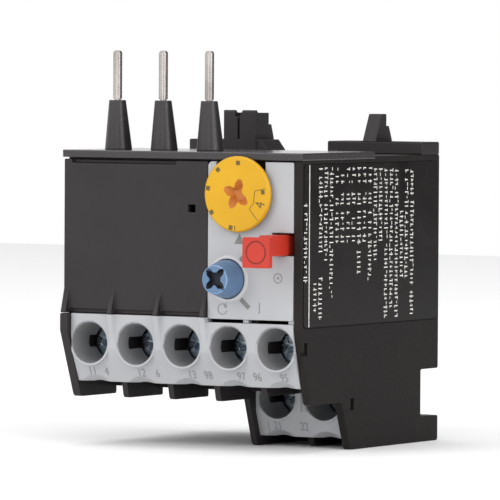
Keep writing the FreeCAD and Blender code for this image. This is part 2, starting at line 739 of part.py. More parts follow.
def make_pin(x):
    """Phase pin with its shoulder, and the lead that runs back and down to the heater."""
    shoulder_top = sleeve_top - pin_shoulder_depth - joint_gap
    profile = [(0, lead_z), (pin_shoulder_radius, lead_z), (pin_shoulder_radius, shoulder_top),
               (pin_neck_radius, shoulder_top), (pin_neck_radius, pin_base),
               (pin_radius, pin_base), (pin_radius, pin_tip - pin_tip_radius),
               (pin_radius - pin_tip_radius / 2, pin_tip - 0.1), (0, pin_tip)]
    across = (x - lead_half_width, x + lead_half_width)
    lead = box(across, (pin_setback - lead_half_width, lead_y + lead_thickness),
               (lead_z, lead_z + lead_thickness))
    drop = box(across, (lead_y, lead_y + lead_thickness),
               (lead_bottom, lead_z + lead_thickness))
    return joined([turned_z(profile, x, pin_setback), lead, drop])


def make_terminal(x, axis_height, front, foot_end):
    """Terminal plate with its screw hole, and the foot that runs back through the wall."""
    rear = front + terminal_thickness
    top = axis_height + terminal_height
    across = (x - terminal_half_width, x + terminal_half_width)
    plate = box(across, (front, rear), (axis_height - terminal_height, top))
    foot = box(across, (front, foot_end), (top - terminal_thickness, top))
    hole = rod_y(screw_radius + running_clearance, x, axis_height, (front - cut_margin, rear + cut_margin))
    return joined([plate, foot]).cut(hole)


def make_screw(x, axis_height, shift):
    """Terminal screw with a domed head, a cross recess and a slot."""
    front = screw_head_front + shift
    seat = front + screw_head_thickness
    head_rim = screw_head_radius
    profile = [(0, front), (head_rim - 0.8, front), (head_rim - 0.2, front + 0.35), (head_rim, front + 0.8),
               (head_rim, seat), (screw_radius, seat), (screw_radius, screw_end + shift - 0.3),
               (screw_radius - 0.3, screw_end + shift), (0, screw_end + shift)]
    screw = turned_y(profile, x, axis_height)
    slot = box((x - 2.2, x + 2.2), (front - 1, front + 0.8), (axis_height - 0.4, axis_height + 0.4))
    cross = box((x - 0.4, x + 0.4), (front - 1, front + 1.1), (axis_height - 1.5, axis_height + 1.5))
    return screw.cut([slot, cross])


def make_clamp(x, axis_height, shift):
    """Square clamp plate under a screw head."""
    half = clamp_side / 2
    front = screw_head_front + screw_head_thickness + shift + 0.05
    outline = rectangle((x - half, axis_height - half), (x + half, axis_height + half), 0.5)
    plate = front_plate(outline, (front, front + clamp_thickness))
    return plate.cut(rod_y(screw_radius + joint_gap, x, axis_height, (front - 1, front + 2)))


def front_and_lower(make):
    """The same fitting at every front terminal and at every lower terminal."""
    shift = tier_front
    front = Part.makeCompound([make(x, 0.0, 0.0) for x in columns])
    lower = Part.makeCompound([make(x, tier_axis, shift) for x in lower_columns])
    return front, lower


def make_bimetal(x):
    """Upright bimetal strip, free at the top."""
    half = bimetal_thickness / 2
    y_range = (bimetal_y - bimetal_width / 2, bimetal_y + bimetal_width / 2)
    return box((x - half, x + half), y_range, (bimetal_pivot - joint_gap, bimetal_top))


def make_heater(x):
    """Insulating sleeve round a bimetal with the turns of the heater band."""
    half_x, half_y = bimetal_thickness / 2 + running_clearance, bimetal_width / 2 + running_clearance
    top = heater_bottom + (heater_turns - 1) * heater_spacing + heater_turn_height

    def ring(grow, z_range):
        return box((x - half_x - grow, x + half_x + grow),
                   (bimetal_y - half_y - grow, bimetal_y + half_y + grow), z_range)
    pieces = [ring(0.5, (heater_bottom - 0.4, top + 0.4))]
    for turn in range(heater_turns):
        z = heater_bottom + turn * heater_spacing
        pieces.append(ring(1.0, (z, z + heater_turn_height)))
    return joined(pieces).cut(ring(0.0, (0, bimetal_top)))


# ---------------------------------------------------------------- trip mechanism
def make_slide(level):
    """Trip slide with one slot for each bimetal and a hole for the differential lever."""
    bottom = slide_bottom + level * slide_spacing
    z_range = (bottom, bottom + slide_thickness)
    front = bimetal_y - slide_depth / 2
    left = phase_columns[0] - slide_overhang
    bar = flat_plate([(left, front, 0.5), (slide_right, front, 0.5),
                      (slide_right, front + slide_depth, 0.5), (left, front + slide_depth, 0.5)], z_range)
    cuts = []
    for x in phase_columns:
        half_x = bimetal_thickness / 2 + part_clearance
        half_y = bimetal_width / 2 + part_clearance
        cuts.append(box((x - half_x, x + half_x), (bimetal_y - half_y, bimetal_y + half_y),
                        (bottom - cut_margin, bottom + slide_thickness + cut_margin)))
        cuts.append(box((x + slide_window[0], x + slide_window[1]),
                        (front + slide_rail, front + slide_depth - slide_rail),
                        (bottom - cut_margin, bottom + slide_thickness + cut_margin)))
    cuts.append(rod_y(0.5, slide_right - 0.9, bottom + slide_thickness / 2,
                      (front + slide_depth - 2.5, front + slide_depth + 1)))
    return bar.cut(cuts)


def make_differential_lever():
    """Lever pinned to the ends of both slides, with the nose that meets the strip."""
    rear = bimetal_y + slide_depth / 2
    y_range = (rear + joint_gap, rear + joint_gap + 1.0)
    top = slide_bottom + slide_spacing + slide_thickness
    nose_x = strip_x - part_clearance
    outline = [(slide_right - 1.9, slide_bottom, 0.6), (slide_right, slide_bottom, 0.6),
               (slide_right + 0.2, nose_height - 0.8, 0), (nose_x, nose_height - 0.4, small_round),
               (nose_x, nose_height + 0.4, small_round), (slide_right + 0.2, nose_height + 0.8, 0),
               (slide_right, top, 0.6), (slide_right - 1.9, top, 0.6)]
    pieces = [front_plate(outline, y_range)]
    for level in (0, 1):
        z = slide_bottom + level * slide_spacing + slide_thickness / 2
        pieces.append(rod_y(0.5 - running_clearance, slide_right - 0.9, z, (rear - 2.0, rear + 0.6)))
    return joined(pieces)


def make_compensating_strip():
    """Second bimetal strip, which stands at the nose of the differential lever."""
    y_range = (mechanism_front + strip_inset, lever_y[1] + strip_overhang)
    z_range = (lever_z - strip_foot, nose_height + strip_head)
    return box((strip_x, strip_x + strip_thickness), y_range, z_range)


def make_trip_lever():
    """Lever that carries the compensating strip and turns on its pin."""
    z_low, z_high = lever_z - carrier_half_height, lever_z + carrier_half_height
    carrier = front_plate(rectangle((strip_x + strip_thickness, z_low), (lever_x, z_high), 0.2), lever_y)
    arm_end, nose_z = lever_x + lever_arm, lever_z - lever_nose_drop
    arm_low, arm_high = lever_z - lever_arm_half_height, lever_z + lever_arm_half_height
    arm = front_plate([(lever_x, arm_low, 0), (arm_end - lever_nose_width - joint_gap, arm_low, 0),
                       (arm_end - lever_nose_width, nose_z, fine_round), (arm_end, nose_z, fine_round),
                       (arm_end, arm_high, corner_round), (lever_x, arm_high, 0)], lever_y)
    hub = rod_y(hub_radius, lever_x, lever_z, lever_y)
    bore = rod_y(pivot_pin_radius + running_clearance, lever_x, lever_z, (0, body_depth))
    return joined([carrier, arm, hub]).cut(bore)


def make_contact_rocker():
    """Rocker below the trip lever's nose, with the stem that carries the contact bridge."""
    nose = lever_z - lever_nose_drop - part_clearance
    arm_end = rocker_x - lever_arm
    arm = front_plate([(rocker_x, rocker_z, 0), (arm_end, nose - rocker_arm_height, fine_round),
                       (arm_end, nose, fine_round), (rocker_x, nose, 0)], lever_y)
    stem = box((rocker_x - rocker_stem_half_width, rocker_x + rocker_stem_half_width), lever_y,
               (contact_z + leaf_depth / 2, rocker_z))
    hub = rod_y(hub_radius, rocker_x, rocker_z, lever_y)
    bore = rod_y(pivot_pin_radius + running_clearance, rocker_x, rocker_z, (0, body_depth))
    leaf_slot = box((rocker_x - leaf_thickness / 2, rocker_x + leaf_thickness / 2),
                    (lever_y[0] - cut_margin, lever_y[1] + cut_margin), (0, contact_z + leaf_depth))
    return joined([arm, stem, hub]).cut([bore, leaf_slot])


def bridge_points():
    """Depths of the two contact points of the bridge."""
    middle = (lever_y[0] + lever_y[1]) / 2
    return [middle - bridge_spacing / 2, middle + bridge_spacing / 2]


def make_moving_contact():
    """Contact bridge: a spring leaf with rivets on both faces at both ends."""
    half = leaf_thickness / 2
    ends = bridge_points()
    bar = box((rocker_x - half, rocker_x + half),
              (ends[0] - bridge_half_height, ends[1] + bridge_half_height),
              (contact_z - bridge_half_height, contact_z + bridge_half_height))
    tongue = box((rocker_x - half, rocker_x + half), (lever_y[0] + rivet_height, lever_y[1] - rivet_height),
                 (contact_z, contact_z + leaf_depth))
    rivets = [rod_x(rivet_radius, y, contact_z,
                    (rocker_x - half - rivet_height, rocker_x + half + rivet_height)) for y in ends]
    return joined([bar, tongue] + rivets)


def make_fixed_contacts(side):
    """Two posts on one side of the bridge: -1 closed at rest, +1 open at rest."""
    bridge_face = leaf_thickness / 2 + rivet_height
    gap = running_clearance if side < 0 else contact_swing + 0.2
    face = rocker_x + side * (bridge_face + gap)
    rivet_back = face + side * rivet_height
    post_back = rivet_back + side * 0.6
    posts = []
    for y in bridge_points():
        rivet = rod_x(rivet_radius, y, contact_z, sorted((face, rivet_back + side * 0.1)))
        post = box(sorted((rivet_back, post_back)), (y - 1.3, y + 1.3), (tier_roof_top, contact_z + 1.3))
        toe = box(sorted((post_back, post_back - side * 0.4)), (y - 1.3, y + 1.3),
                  (tier_roof_top, tier_roof_top + 0.6))
        posts.append(joined([post, rivet, toe]))
    return Part.makeCompound(posts)


def make_pivot_pins():
    """Steel pins that stand in the inner plate and carry the three levers."""
    places = [(lever_x, lever_z, lever_y[1] + 0.8), (rocker_x, rocker_z, lever_y[1] + 0.8),
              (adjuster_x, adjuster_z, cam_front + cam_thickness + 0.8)]
    return Part.makeCompound([rod_y(pivot_pin_radius, x, z, (plate_front, end)) for x, z, end in places])


def make_inner_plate():
    """Upright inner plate that guides the shaft, the plunger, the rod and the pivot pins."""
    low = (cover_right + joint_gap, chamber_roof_top)
    high = (inner_right - joint_gap, roof_under - joint_gap)
    y_range = (plate_front, plate_rear)
    plate = front_plate(rectangle(low, high, 0.5), y_range)
    through = (plate_front - cut_margin, plate_rear + cut_margin)
    rod_x_centre = button_head_right - button_stem_width / 2
    rod_z_centre = button_stem_bottom + button_stem_height / 2
    holes = [rod_y(dial_shaft_radius + running_clearance, dial_x, dial_z, through),
             rod_y(plunger_radius + running_clearance, knob_x, knob_z, through),
             rod_y(button_rod_radius + running_clearance, rod_x_centre, rod_z_centre, through)]
    for x, z in ((lever_x, lever_z), (rocker_x, rocker_z), (adjuster_x, adjuster_z)):
        holes.append(rod_y(pivot_pin_radius + 0.01, x, z, through))
    return plate.cut(holes)


# ---------------------------------------------------------------- controls
def make_dial():
    """Dial disc with its driver recess, boss and stepped shaft."""
    back = dial_front + dial_thickness
    profile = [(0, dial_front), (dial_radius - 0.25, dial_front), (dial_radius, dial_front + 0.25),
               (dial_radius, back), (dial_boss_radius, back), (dial_boss_radius, wall),
               (dial_shaft_radius, wall), (dial_shaft_radius, plate_rear + 0.1),
               (cam_shaft_radius, plate_rear + 0.1),
               (cam_shaft_radius, cam_front + cam_thickness + 0.4),
               (0, cam_front + cam_thickness + 0.4)]
    dial = turned_y(profile, dial_x, dial_z)
    lobes = []
    depth = (dial_front - 1, dial_front + driver_recess_depth)
    for lobe in range(5):
        angle = math.radians(90 + 72 * lobe)
        arm = front_plate(rectangle((dial_x, dial_z - 0.45), (dial_x + driver_recess_radius, dial_z + 0.45),
                                    0.2), depth)
        arm.rotate(vector(dial_x, 0, dial_z), vector(0, 1, 0), math.degrees(angle))
        lobes.append(arm)
    lobes.append(rod_y(0.9, dial_x, dial_z, depth))
    return dial.cut(lobes)


def make_cam():
    """Spiral cam on the dial shaft: its radius grows evenly over the dial's turn."""
    steps = 12
    points = []
    for step in range(steps + 1):
        angle = math.radians(-90 - dial_turn * step / steps)
        radius = cam_radius + cam_rise * step / steps
        points.append(vector(dial_x + radius * math.cos(angle), cam_front, dial_z + radius * math.sin(angle)))
    spiral = Part.BSplineCurve()
    spiral.interpolate(points)
    return_point = vector(dial_x + cam_radius, cam_front, dial_z)
    edges = [spiral.toShape(), Part.LineSegment(points[-1], return_point).toShape(),
             Part.LineSegment(return_point, points[0]).toShape()]
    cam = Part.Face(Part.Wire(edges)).extrude(vector(0, cam_thickness, 0))
    hub = rod_y(cam_radius, dial_x, dial_z, (cam_front, cam_front + cam_thickness))
    bore = rod_y(cam_shaft_radius + 0.01, dial_x, dial_z, (0, body_depth))
    return joined([cam, hub]).cut(bore)


def make_adjusting_lever():
    """Follower under the cam, which the dial swings down as it turns."""
    y_range = (cam_front, cam_front + cam_thickness)
    nose_top = dial_z - cam_radius - 0.15
    arm = front_plate([(adjuster_x, adjuster_z - 0.9, 0), (dial_x - 0.5, nose_top - 1.3, small_round),
                       (dial_x - 0.5, nose_top, fine_round), (dial_x + 0.5, nose_top, fine_round),
                       (adjuster_x, adjuster_z + 0.9, 0)], y_range)
    hub = rod_y(hub_radius, adjuster_x, adjuster_z, y_range)
    bore = rod_y(pivot_pin_radius + running_clearance, adjuster_x, adjuster_z, (0, body_depth))
    return joined([arm, hub]).cut(bore)


def make_knob():
    """Reset knob: rounded flank, flat front with a cross recess and pointer, and its shaft."""
    shoulder = (knob_front + knob_back) / 2
    profile = [(0, knob_front), (knob_front_radius - 0.15, knob_front),
               (knob_front_radius, knob_front + 0.15), (knob_radius - 0.42, shoulder - 1.0),
               (knob_radius - 0.14, shoulder), (knob_radius, shoulder + 1.1),
               (knob_radius, knob_back), (knob_shaft_radius, knob_back),
               (knob_shaft_radius, knob_shaft_end), (0, knob_shaft_end)]
    knob = turned_y(profile, knob_x, knob_z)
    depth = (knob_front - 1, knob_front + cross_depth)
    half_span, half_arm = cross_span / 2, cross_arm / 2
    cuts = []
    for angle in (45, 135):
        arm = front_plate(rectangle((knob_x - half_span, knob_z - half_arm),
                                    (knob_x + half_span, knob_z + half_arm), 0.2), depth)
        arm.rotate(vector(knob_x, 0, knob_z), vector(0, 1, 0), angle)
        cuts.append(arm)
    pointer = box((knob_x, knob_x + knob_front_radius + 1), (knob_front - 1, knob_front + 0.5),
                  (knob_z - 0.2, knob_z + 0.2))
    pointer.rotate(vector(knob_x, 0, knob_z), vector(0, 1, 0), 45)
    return knob.cut(cuts + [pointer])


def make_plunger():
    """Reset plunger: the tube in which the knob's shaft turns, with its spring flange."""
    front = knob_back + joint_gap
    bore = knob_shaft_radius + running_clearance
    profile = [(bore, front), (plunger_flange_radius, front), (plunger_flange_radius, front + plunger_flange),
               (plunger_radius, front + plunger_flange), (plunger_radius, plunger_end),
               (0, plunger_end), (0, knob_shaft_end + joint_gap), (bore, knob_shaft_end + joint_gap)]
    return turned_y(profile, knob_x, knob_z)


def make_reset_spring():
    """Return spring between the plunger's flange and the inner plate."""
    front = knob_back + joint_gap + plunger_flange + joint_gap
    return coil(plunger_radius + 0.4, knob_x, knob_z, (front, plate_front - joint_gap), 5)


def make_button():
    """Stop button: a square head with a ring groove, offset on a flat stem that ends in a rod."""
    head_back = button_front + button_head_thickness
    head = front_plate(rectangle((button_head_left, button_head_bottom),
                                 (button_head_right, button_head_bottom + button_head_height), 0.25),
                       (button_front, head_back))
    stem_left = button_head_right - button_stem_width
    stem = box((stem_left, button_head_right), (head_back, button_flange_rear),
               (button_stem_bottom, button_stem_bottom + button_stem_height))
    rod_x_centre = (stem_left + button_head_right) / 2
    rod_z_centre = button_stem_bottom + button_stem_height / 2
    rod = rod_y(button_rod_radius, rod_x_centre, rod_z_centre, (button_flange_rear, button_rod_end))
    ring_x = (button_head_left + button_head_right) / 2
    ring_z = button_head_bottom + button_head_height / 2
    groove = rod_y(button_ring_radius, ring_x, ring_z, (button_front - cut_margin, button_front + button_ring_depth))
    island = rod_y(button_ring_radius - button_ring_width, ring_x, ring_z,
                   (button_front - 2 * cut_margin, button_front + cut_margin))
    groove = groove.cut(island)
    return joined([head, stem, rod]).cut(groove)


def make_button_spring():
    """Return spring between the button's stem and the inner plate."""
    rod_x_centre = button_head_right - button_stem_width / 2
    rod_z_centre = button_stem_bottom + button_stem_height / 2
    return coil(button_rod_radius + 0.35, rod_x_centre, rod_z_centre,
                (button_flange_rear + joint_gap, plate_front - joint_gap), 5)


# ---------------------------------------------------------------- assembly
def collect_parts():
    """Every piece by its node name."""
    parts = {
        "housing": make_housing(),
        "side_cover": make_side_cover(),
        "side_label": label_solid(half_width - label_seat, half_width + label_stand, 0.0),
        "front_cover": make_front_cover(),
        "operator_panel": make_operator_panel(),
        "terminal_shroud_front": make_front_shroud(),
        "terminal_shroud_lower": make_lower_shroud(),
        "top_cap": make_top_cap(),
        "hook_left": make_hook_left(),
        "hook_right": make_hook_right(),
        "inner_plate": make_inner_plate(),
        "pivot_pins": make_pivot_pins(),
        "trip_slide": make_slide(0),
        "differential_slide": make_slide(1),
        "differential_lever": make_differential_lever(),
        "compensating_strip": make_compensating_strip(),
        "trip_lever": make_trip_lever(),
        "contact_rocker": make_contact_rocker(),
        "moving_contact": make_moving_contact(),
        "nc_fixed_contacts": make_fixed_contacts(-1),
        "no_fixed_contacts": make_fixed_contacts(1),
        "current_dial": make_dial(),
        "dial_cam": make_cam(),
        "adjusting_lever": make_adjusting_lever(),
        "reset_knob": make_knob(),
        "reset_plunger": make_plunger(),
        "reset_spring": make_reset_spring(),
        "stop_button": make_button(),
        "button_spring": make_button_spring(),
    }
    parts["terminal_screws_front"], parts["terminal_screws_lower"] = front_and_lower(make_screw)
    parts["clamp_plates_front"], parts["clamp_plates_lower"] = front_and_lower(make_clamp)
    for number, x in enumerate(phase_columns, start=1):
        parts[f"pin_sleeve_{number}"] = make_sleeve(x)
        parts[f"phase_pin_{number}"] = make_pin(x)
        foot_end = bimetal_y + bimetal_width / 2
        parts[f"phase_terminal_{number}"] = make_terminal(x, 0.0, terminal_front, foot_end)
        parts[f"bimetal_{number}"] = make_bimetal(x)
        parts[f"heater_winding_{number}"] = make_heater(x)
    lower_foot_end = (tier_wall_front + notch_front) / 2
    auxiliary = [make_terminal(x, 0.0, terminal_front, chamber_wall_rear + auxiliary_foot)
                 for x in columns[phase_count:]]
    auxiliary += [make_terminal(x, tier_axis, terminal_front + tier_front, lower_foot_end)
                  for x in lower_columns]
    parts["auxiliary_terminals"] = Part.makeCompound(auxiliary)
    return parts


def main():
    """Build every piece, move it to the datum and write one STEP file for each."""
    os.makedirs("parts", exist_ok=True)
    for name, shape in collect_parts().items():
        shape.translate(-datum)
        shape.exportStep(f"parts/{name}.step")
        box_size = shape.BoundBox
        print(f"{name}: valid {shape.isValid()}, solids {len(shape.Solids)}, volume {shape.Volume:.1f},"
              f" size {box_size.XLength:.2f} x {box_size.YLength:.2f} x {box_size.ZLength:.2f}")


main()
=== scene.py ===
"""Looks of a thermal overload relay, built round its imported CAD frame.

Each sub-assembly is a class that holds its sizes in millimetres as fields, builds its pieces and
dresses them. Places are counted from the axis of the middle front terminal, in the plane of the
front cover: X runs right along the row of terminals, Y to the back and Z up.
"""
import json
import logging
import math
from collections.abc import Callable, Sequence
from dataclasses import dataclass
from enum import Enum

import bmesh
import bpy
from mathutils import Matrix, Vector

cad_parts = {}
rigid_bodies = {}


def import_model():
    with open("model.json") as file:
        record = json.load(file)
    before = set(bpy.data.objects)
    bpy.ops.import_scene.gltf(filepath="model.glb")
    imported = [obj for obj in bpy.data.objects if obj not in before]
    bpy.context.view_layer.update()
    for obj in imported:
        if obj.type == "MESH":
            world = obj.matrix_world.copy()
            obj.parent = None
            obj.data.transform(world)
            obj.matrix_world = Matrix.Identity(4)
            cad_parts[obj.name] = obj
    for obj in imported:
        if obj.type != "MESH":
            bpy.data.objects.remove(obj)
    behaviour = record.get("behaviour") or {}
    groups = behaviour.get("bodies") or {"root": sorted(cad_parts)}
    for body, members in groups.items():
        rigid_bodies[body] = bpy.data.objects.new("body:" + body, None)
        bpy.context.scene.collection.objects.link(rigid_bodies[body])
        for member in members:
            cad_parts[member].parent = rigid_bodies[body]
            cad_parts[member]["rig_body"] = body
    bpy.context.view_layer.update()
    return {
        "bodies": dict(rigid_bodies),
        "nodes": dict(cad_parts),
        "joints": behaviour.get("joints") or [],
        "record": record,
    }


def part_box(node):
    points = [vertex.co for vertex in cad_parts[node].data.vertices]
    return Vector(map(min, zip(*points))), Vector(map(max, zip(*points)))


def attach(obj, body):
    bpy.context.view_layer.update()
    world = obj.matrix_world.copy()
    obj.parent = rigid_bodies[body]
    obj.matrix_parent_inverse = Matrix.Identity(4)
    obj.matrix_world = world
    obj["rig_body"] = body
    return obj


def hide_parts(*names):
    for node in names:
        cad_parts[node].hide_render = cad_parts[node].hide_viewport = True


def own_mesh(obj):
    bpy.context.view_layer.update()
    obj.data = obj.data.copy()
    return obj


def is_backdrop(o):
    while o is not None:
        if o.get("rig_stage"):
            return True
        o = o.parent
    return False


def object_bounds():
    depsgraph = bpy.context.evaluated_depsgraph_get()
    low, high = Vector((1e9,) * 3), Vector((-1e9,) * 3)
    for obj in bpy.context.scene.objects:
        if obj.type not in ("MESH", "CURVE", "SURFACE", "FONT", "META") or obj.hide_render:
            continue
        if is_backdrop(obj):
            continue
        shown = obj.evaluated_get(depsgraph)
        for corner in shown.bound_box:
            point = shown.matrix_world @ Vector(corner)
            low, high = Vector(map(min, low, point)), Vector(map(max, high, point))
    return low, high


LOG = logging.getLogger("relay_looks")
MM = 0.001
# Thickness of printed ink, and how far a printed mark stands off its face in mm.
INK = 0.01 * MM
PRINT_HEIGHT = 0.02
# Edges sharper than this keep their crease, in degrees.
CREASE = 32.0
# From terminal to terminal along a row, in mm.
TERMINAL_PITCH = 8.8
FRAME: dict = {}

Point = tuple[float, float]
Colour = tuple[float, float, float, float]
FaceTest = Callable[[Vector, Vector], bool]


# ---------------------------------------------------------------- materials
def linear(code: str) -> Colour:
    """Turn an sRGB hex colour into Blender's linear values.

    Args:
        code: The colour as "#rrggbb".

    Returns:
        Red, green, blue and an alpha of one.
    """
    channels = [int(code[start:start + 2], 16) / 255 for start in (1, 3, 5)]
    low, high, shift, power = 12.92, 1.055, 0.055, 2.4
    values = [value / low if value <= 0.04045 else ((value + shift) / high) ** power for value in channels]
    return (values[0], values[1], values[2], 1.0)


def connect(tree: bpy.types.NodeTree, node: bpy.types.Node, inputs: dict) -> None:
    """Link or set some inputs of a node.

    Args:
        tree: The node tree.
        node: The node.
        inputs: Values or linked output sockets, by input name or number.
    """
    for key, value in inputs.items():
        if isinstance(value, bpy.types.NodeSocket):
            tree.links.new(value, node.inputs[key])
        else:
            node.inputs[key].default_value = value


def add_node(tree: bpy.types.NodeTree, kind: str, inputs: dict | None = None,
             **settings: object) -> bpy.types.Node:
    """Add one node with its settings, values and links.

    Args:
        tree: The node tree.
        kind: The node's type name.
        inputs: Values or linked output sockets, by input name or number.
        **settings: Properties of the node itself.

    Returns:
        The new node.
    """
    node = tree.nodes.new(kind)
    for name, value in settings.items():
        setattr(node, name, value)
    connect(tree, node, inputs or {})
    return node


def per_mm(spacing: float) -> float:
    """Texture scale whose features are about this many millimetres apart."""
    return 1.0 / (spacing * MM)


def blank_material(name: str) -> tuple[bpy.types.Material, bpy.types.NodeTree, bpy.types.NodeSocket]:
    """Start a node material.

    Args:
        name: The finish's name.

    Returns:
        The material, its node tree and the place on the piece that its patterns read.
    """
    material = bpy.data.materials.new(name)
    material.use_nodes = True
    tree = material.node_tree
    return material, tree, add_node(tree, "ShaderNodeTexCoord").outputs["Object"]


def mottled(tree: bpy.types.NodeTree, pattern: bpy.types.NodeSocket, reach: Point, colour: str,
            other: str) -> bpy.types.NodeSocket:
    """Pass from one colour to another as a pattern's value rises.

    Args:
        tree: The node tree.
        pattern: The pattern's value.
        reach: Values where the other colour starts and is full.
        colour: The first colour.
        other: The other colour.

    Returns:
        The mottled colour.
    """
    share = add_node(tree, "ShaderNodeMapRange", {
        "Value": pattern, "From Min": reach[0], "From Max": reach[1]}).outputs[0]
    return add_node(tree, "ShaderNodeMix", {
        0: share, 6: linear(colour), 7: linear(other)}, data_type="RGBA").outputs[2]


@dataclass(frozen=True)
class MouldedPlastic:
    """Injection-moulded thermoplastic with a spark-eroded skin, and a lighter colour along its edges that
    stands for rubbed wear and a painted highlight.

    Args:
        name: The finish's name.
        colour: Body colour.
        cloud: Colour of the slow variation from melt flow.
        edge: Colour along the edges, for rubbed wear and a painted highlight.
        roughness: Mean roughness.
        grain: Spacing of the eroded grain, in mm.
        depth: Height of the grain, in mm.
        softness: Radius to which edges look rounded, in mm.
        index: Index of refraction; lower for a skin whose grain traps its gloss.
        cloud_size: Spacing of the slow variation, in mm.
        edge_share: How far the edge colour replaces the body colour.
        speckle: Swing of the roughness from grain to grain.
    """

    name: str
    colour: str
    cloud: str
    edge: str
    roughness: float = 0.5
    grain: float = 0.45
    depth: float = 0.012
    softness: float = 0.22
    index: float = 1.5
    cloud_size: float = 9.0
    edge_share: float = 0.5
    speckle: float = 0.07

    def build(self) -> bpy.types.Material:
        """Make the node material.

        Returns:
            The material.
        """
        material, tree, place = blank_material(self.name)
        cloud = add_node(tree, "ShaderNodeTexNoise", {
            "Vector": place, "Scale": per_mm(self.cloud_size), "Detail": 3.0, "Roughness": 0.55}).outputs[0]
        grain = add_node(tree, "ShaderNodeTexNoise", {
            "Vector": place, "Scale": per_mm(self.grain), "Detail": 2.0, "Roughness": 0.6}).outputs[0]
        soft = add_node(tree, "ShaderNodeBevel", {"Radius": self.softness * MM}, samples=6).outputs[0]
        flat = add_node(tree, "ShaderNodeNewGeometry").outputs["Normal"]
        # Edges, where the softened normal leans away from the true one, take a lighter colour: rubbed wear
        # and a painted highlight.
        along = add_node(tree, "ShaderNodeVectorMath", {0: soft, 1: flat}, operation="DOT_PRODUCT")
        worn_and_highlit_edges = add_node(tree, "ShaderNodeMapRange", {
            "Value": along.outputs["Value"], "From Min": 0.985, "From Max": 0.75,
            "To Min": 0.0, "To Max": self.edge_share}).outputs[0]
        body = mottled(tree, cloud, (0.35, 0.65), self.colour, self.cloud)
        skin = add_node(tree, "ShaderNodeMix", {
            0: worn_and_highlit_edges, 6: body, 7: linear(self.edge)}, data_type="RGBA").outputs[2]
        rough = add_node(tree, "ShaderNodeMapRange", {
            "Value": grain, "From Min": 0.3, "From Max": 0.7,
            "To Min": self.roughness - self.speckle, "To Max": self.roughness + self.speckle}).outputs[0]
        relief = add_node(tree, "ShaderNodeBump", {
            "Height": grain, "Distance": self.depth * MM, "Strength": 0.6, "Normal": soft}).outputs[0]
        connect(tree, tree.nodes["Principled BSDF"], {
            "Base Color": skin, "Roughness": rough, "Normal": relief, "IOR": self.index})
        return material


@dataclass(frozen=True)
class PlatedMetal:
    """Metal part with a plated, drawn or stamped surface.

    Args:
        name: The finish's name.
        colour: Colour of the metal or its plating.
        stain: Colour of the thin places and passivation.
        roughness: Mean roughness.
        grain: Spacing of the tool marks along X, Y and Z, in mm.
        depth: Height of the tool marks, in mm.
        stain_size: Spacing of the stains, in mm.
        softness: Radius to which edges look rounded, in mm; none on drawn wire.
        swing: How far the roughness strays from its mean.
    """

    name: str
    colour: str
    stain: str
    roughness: float = 0.3
    grain: tuple[float, float, float] = (0.3, 0.3, 0.3)
    depth: float = 0.006
    stain_size: float = 2.5
    softness: float = 0.08
    swing: float = 0.1

    def build(self) -> bpy.types.Material:
        """Make the node material.

        Returns:
            The material.
        """
        material, tree, place = blank_material(self.name)
        stretched = add_node(tree, "ShaderNodeMapping", {
            "Vector": place, "Scale": Vector([per_mm(spacing) for spacing in self.grain])}).outputs[0]
        marks = add_node(tree, "ShaderNodeTexNoise", {
            "Vector": stretched, "Scale": 1.0, "Detail": 3.0}).outputs[0]
        patches = add_node(tree, "ShaderNodeTexNoise", {
            "Vector": place, "Scale": per_mm(self.stain_size), "Detail": 4.0}).outputs[0]
        skin = mottled(tree, patches, (0.4, 0.7), self.colour, self.stain)
        rough = add_node(tree, "ShaderNodeMapRange", {
            "Value": marks, "From Min": 0.3, "From Max": 0.7,
            "To Min": self.roughness - self.swing, "To Max": self.roughness + self.swing}).outputs[0]
        soft = add_node(tree, "ShaderNodeBevel", {"Radius": self.softness * MM}, samples=4).outputs[0]
        relief = add_node(tree, "ShaderNodeBump", {
            "Height": marks, "Distance": self.depth * MM, "Strength": 0.7, "Normal": soft}).outputs[0]
        connect(tree, tree.nodes["Principled BSDF"], {
            "Base Color": skin, "Roughness": rough, "Normal": relief, "Metallic": 1.0})
        return material


@dataclass(frozen=True)
class GlossFilm:
    """Black polyester label film, laminated, with the faint waviness of its adhesive.

    Args:
        name: The finish's name.
        colour: Colour of the film.
        haze: Colour of the smears on it.
        roughness: Roughness of the clean film.
        smear_roughness: What a smear adds to it.
        wave: Spacing of the waves, in mm.
        smear: Spacing of the smears, in mm.
        depth: Height of the waves, in mm.
        index: Index of refraction; low, because the laminate is dulled.
    """

    name: str
    colour: str
    haze: str
    roughness: float = 0.2
    smear_roughness: float = 0.14
    wave: float = 3.5
    smear: float = 7.0
    depth: float = 0.02
    index: float = 1.24

    def build(self) -> bpy.types.Material:
        """Make the node material.

        Returns:
            The material.
        """
        material, tree, place = blank_material(self.name)
        waves = add_node(tree, "ShaderNodeTexNoise", {
            "Vector": place, "Scale": per_mm(self.wave), "Detail": 2.0}).outputs[0]
        smears = add_node(tree, "ShaderNodeTexNoise", {
            "Vector": place, "Scale": per_mm(self.smear), "Detail": 5.0, "Distortion": 0.6}).outputs[0]
        rough = add_node(tree, "ShaderNodeMapRange", {
            "Value": smears, "From Min": 0.3, "From Max": 0.8,
            "To Min": self.roughness, "To Max": self.roughness + self.smear_roughness}).outputs[0]
        relief = add_node(tree, "ShaderNodeBump", {
            "Height": waves, "Distance": self.depth * MM, "Strength": 0.4}).outputs[0]
        connect(tree, tree.nodes["Principled BSDF"], {
            "Base Color": mottled(tree, smears, (0.4, 0.75), self.colour, self.haze),
            "Roughness": rough, "Normal": relief, "IOR": self.index})
        return material


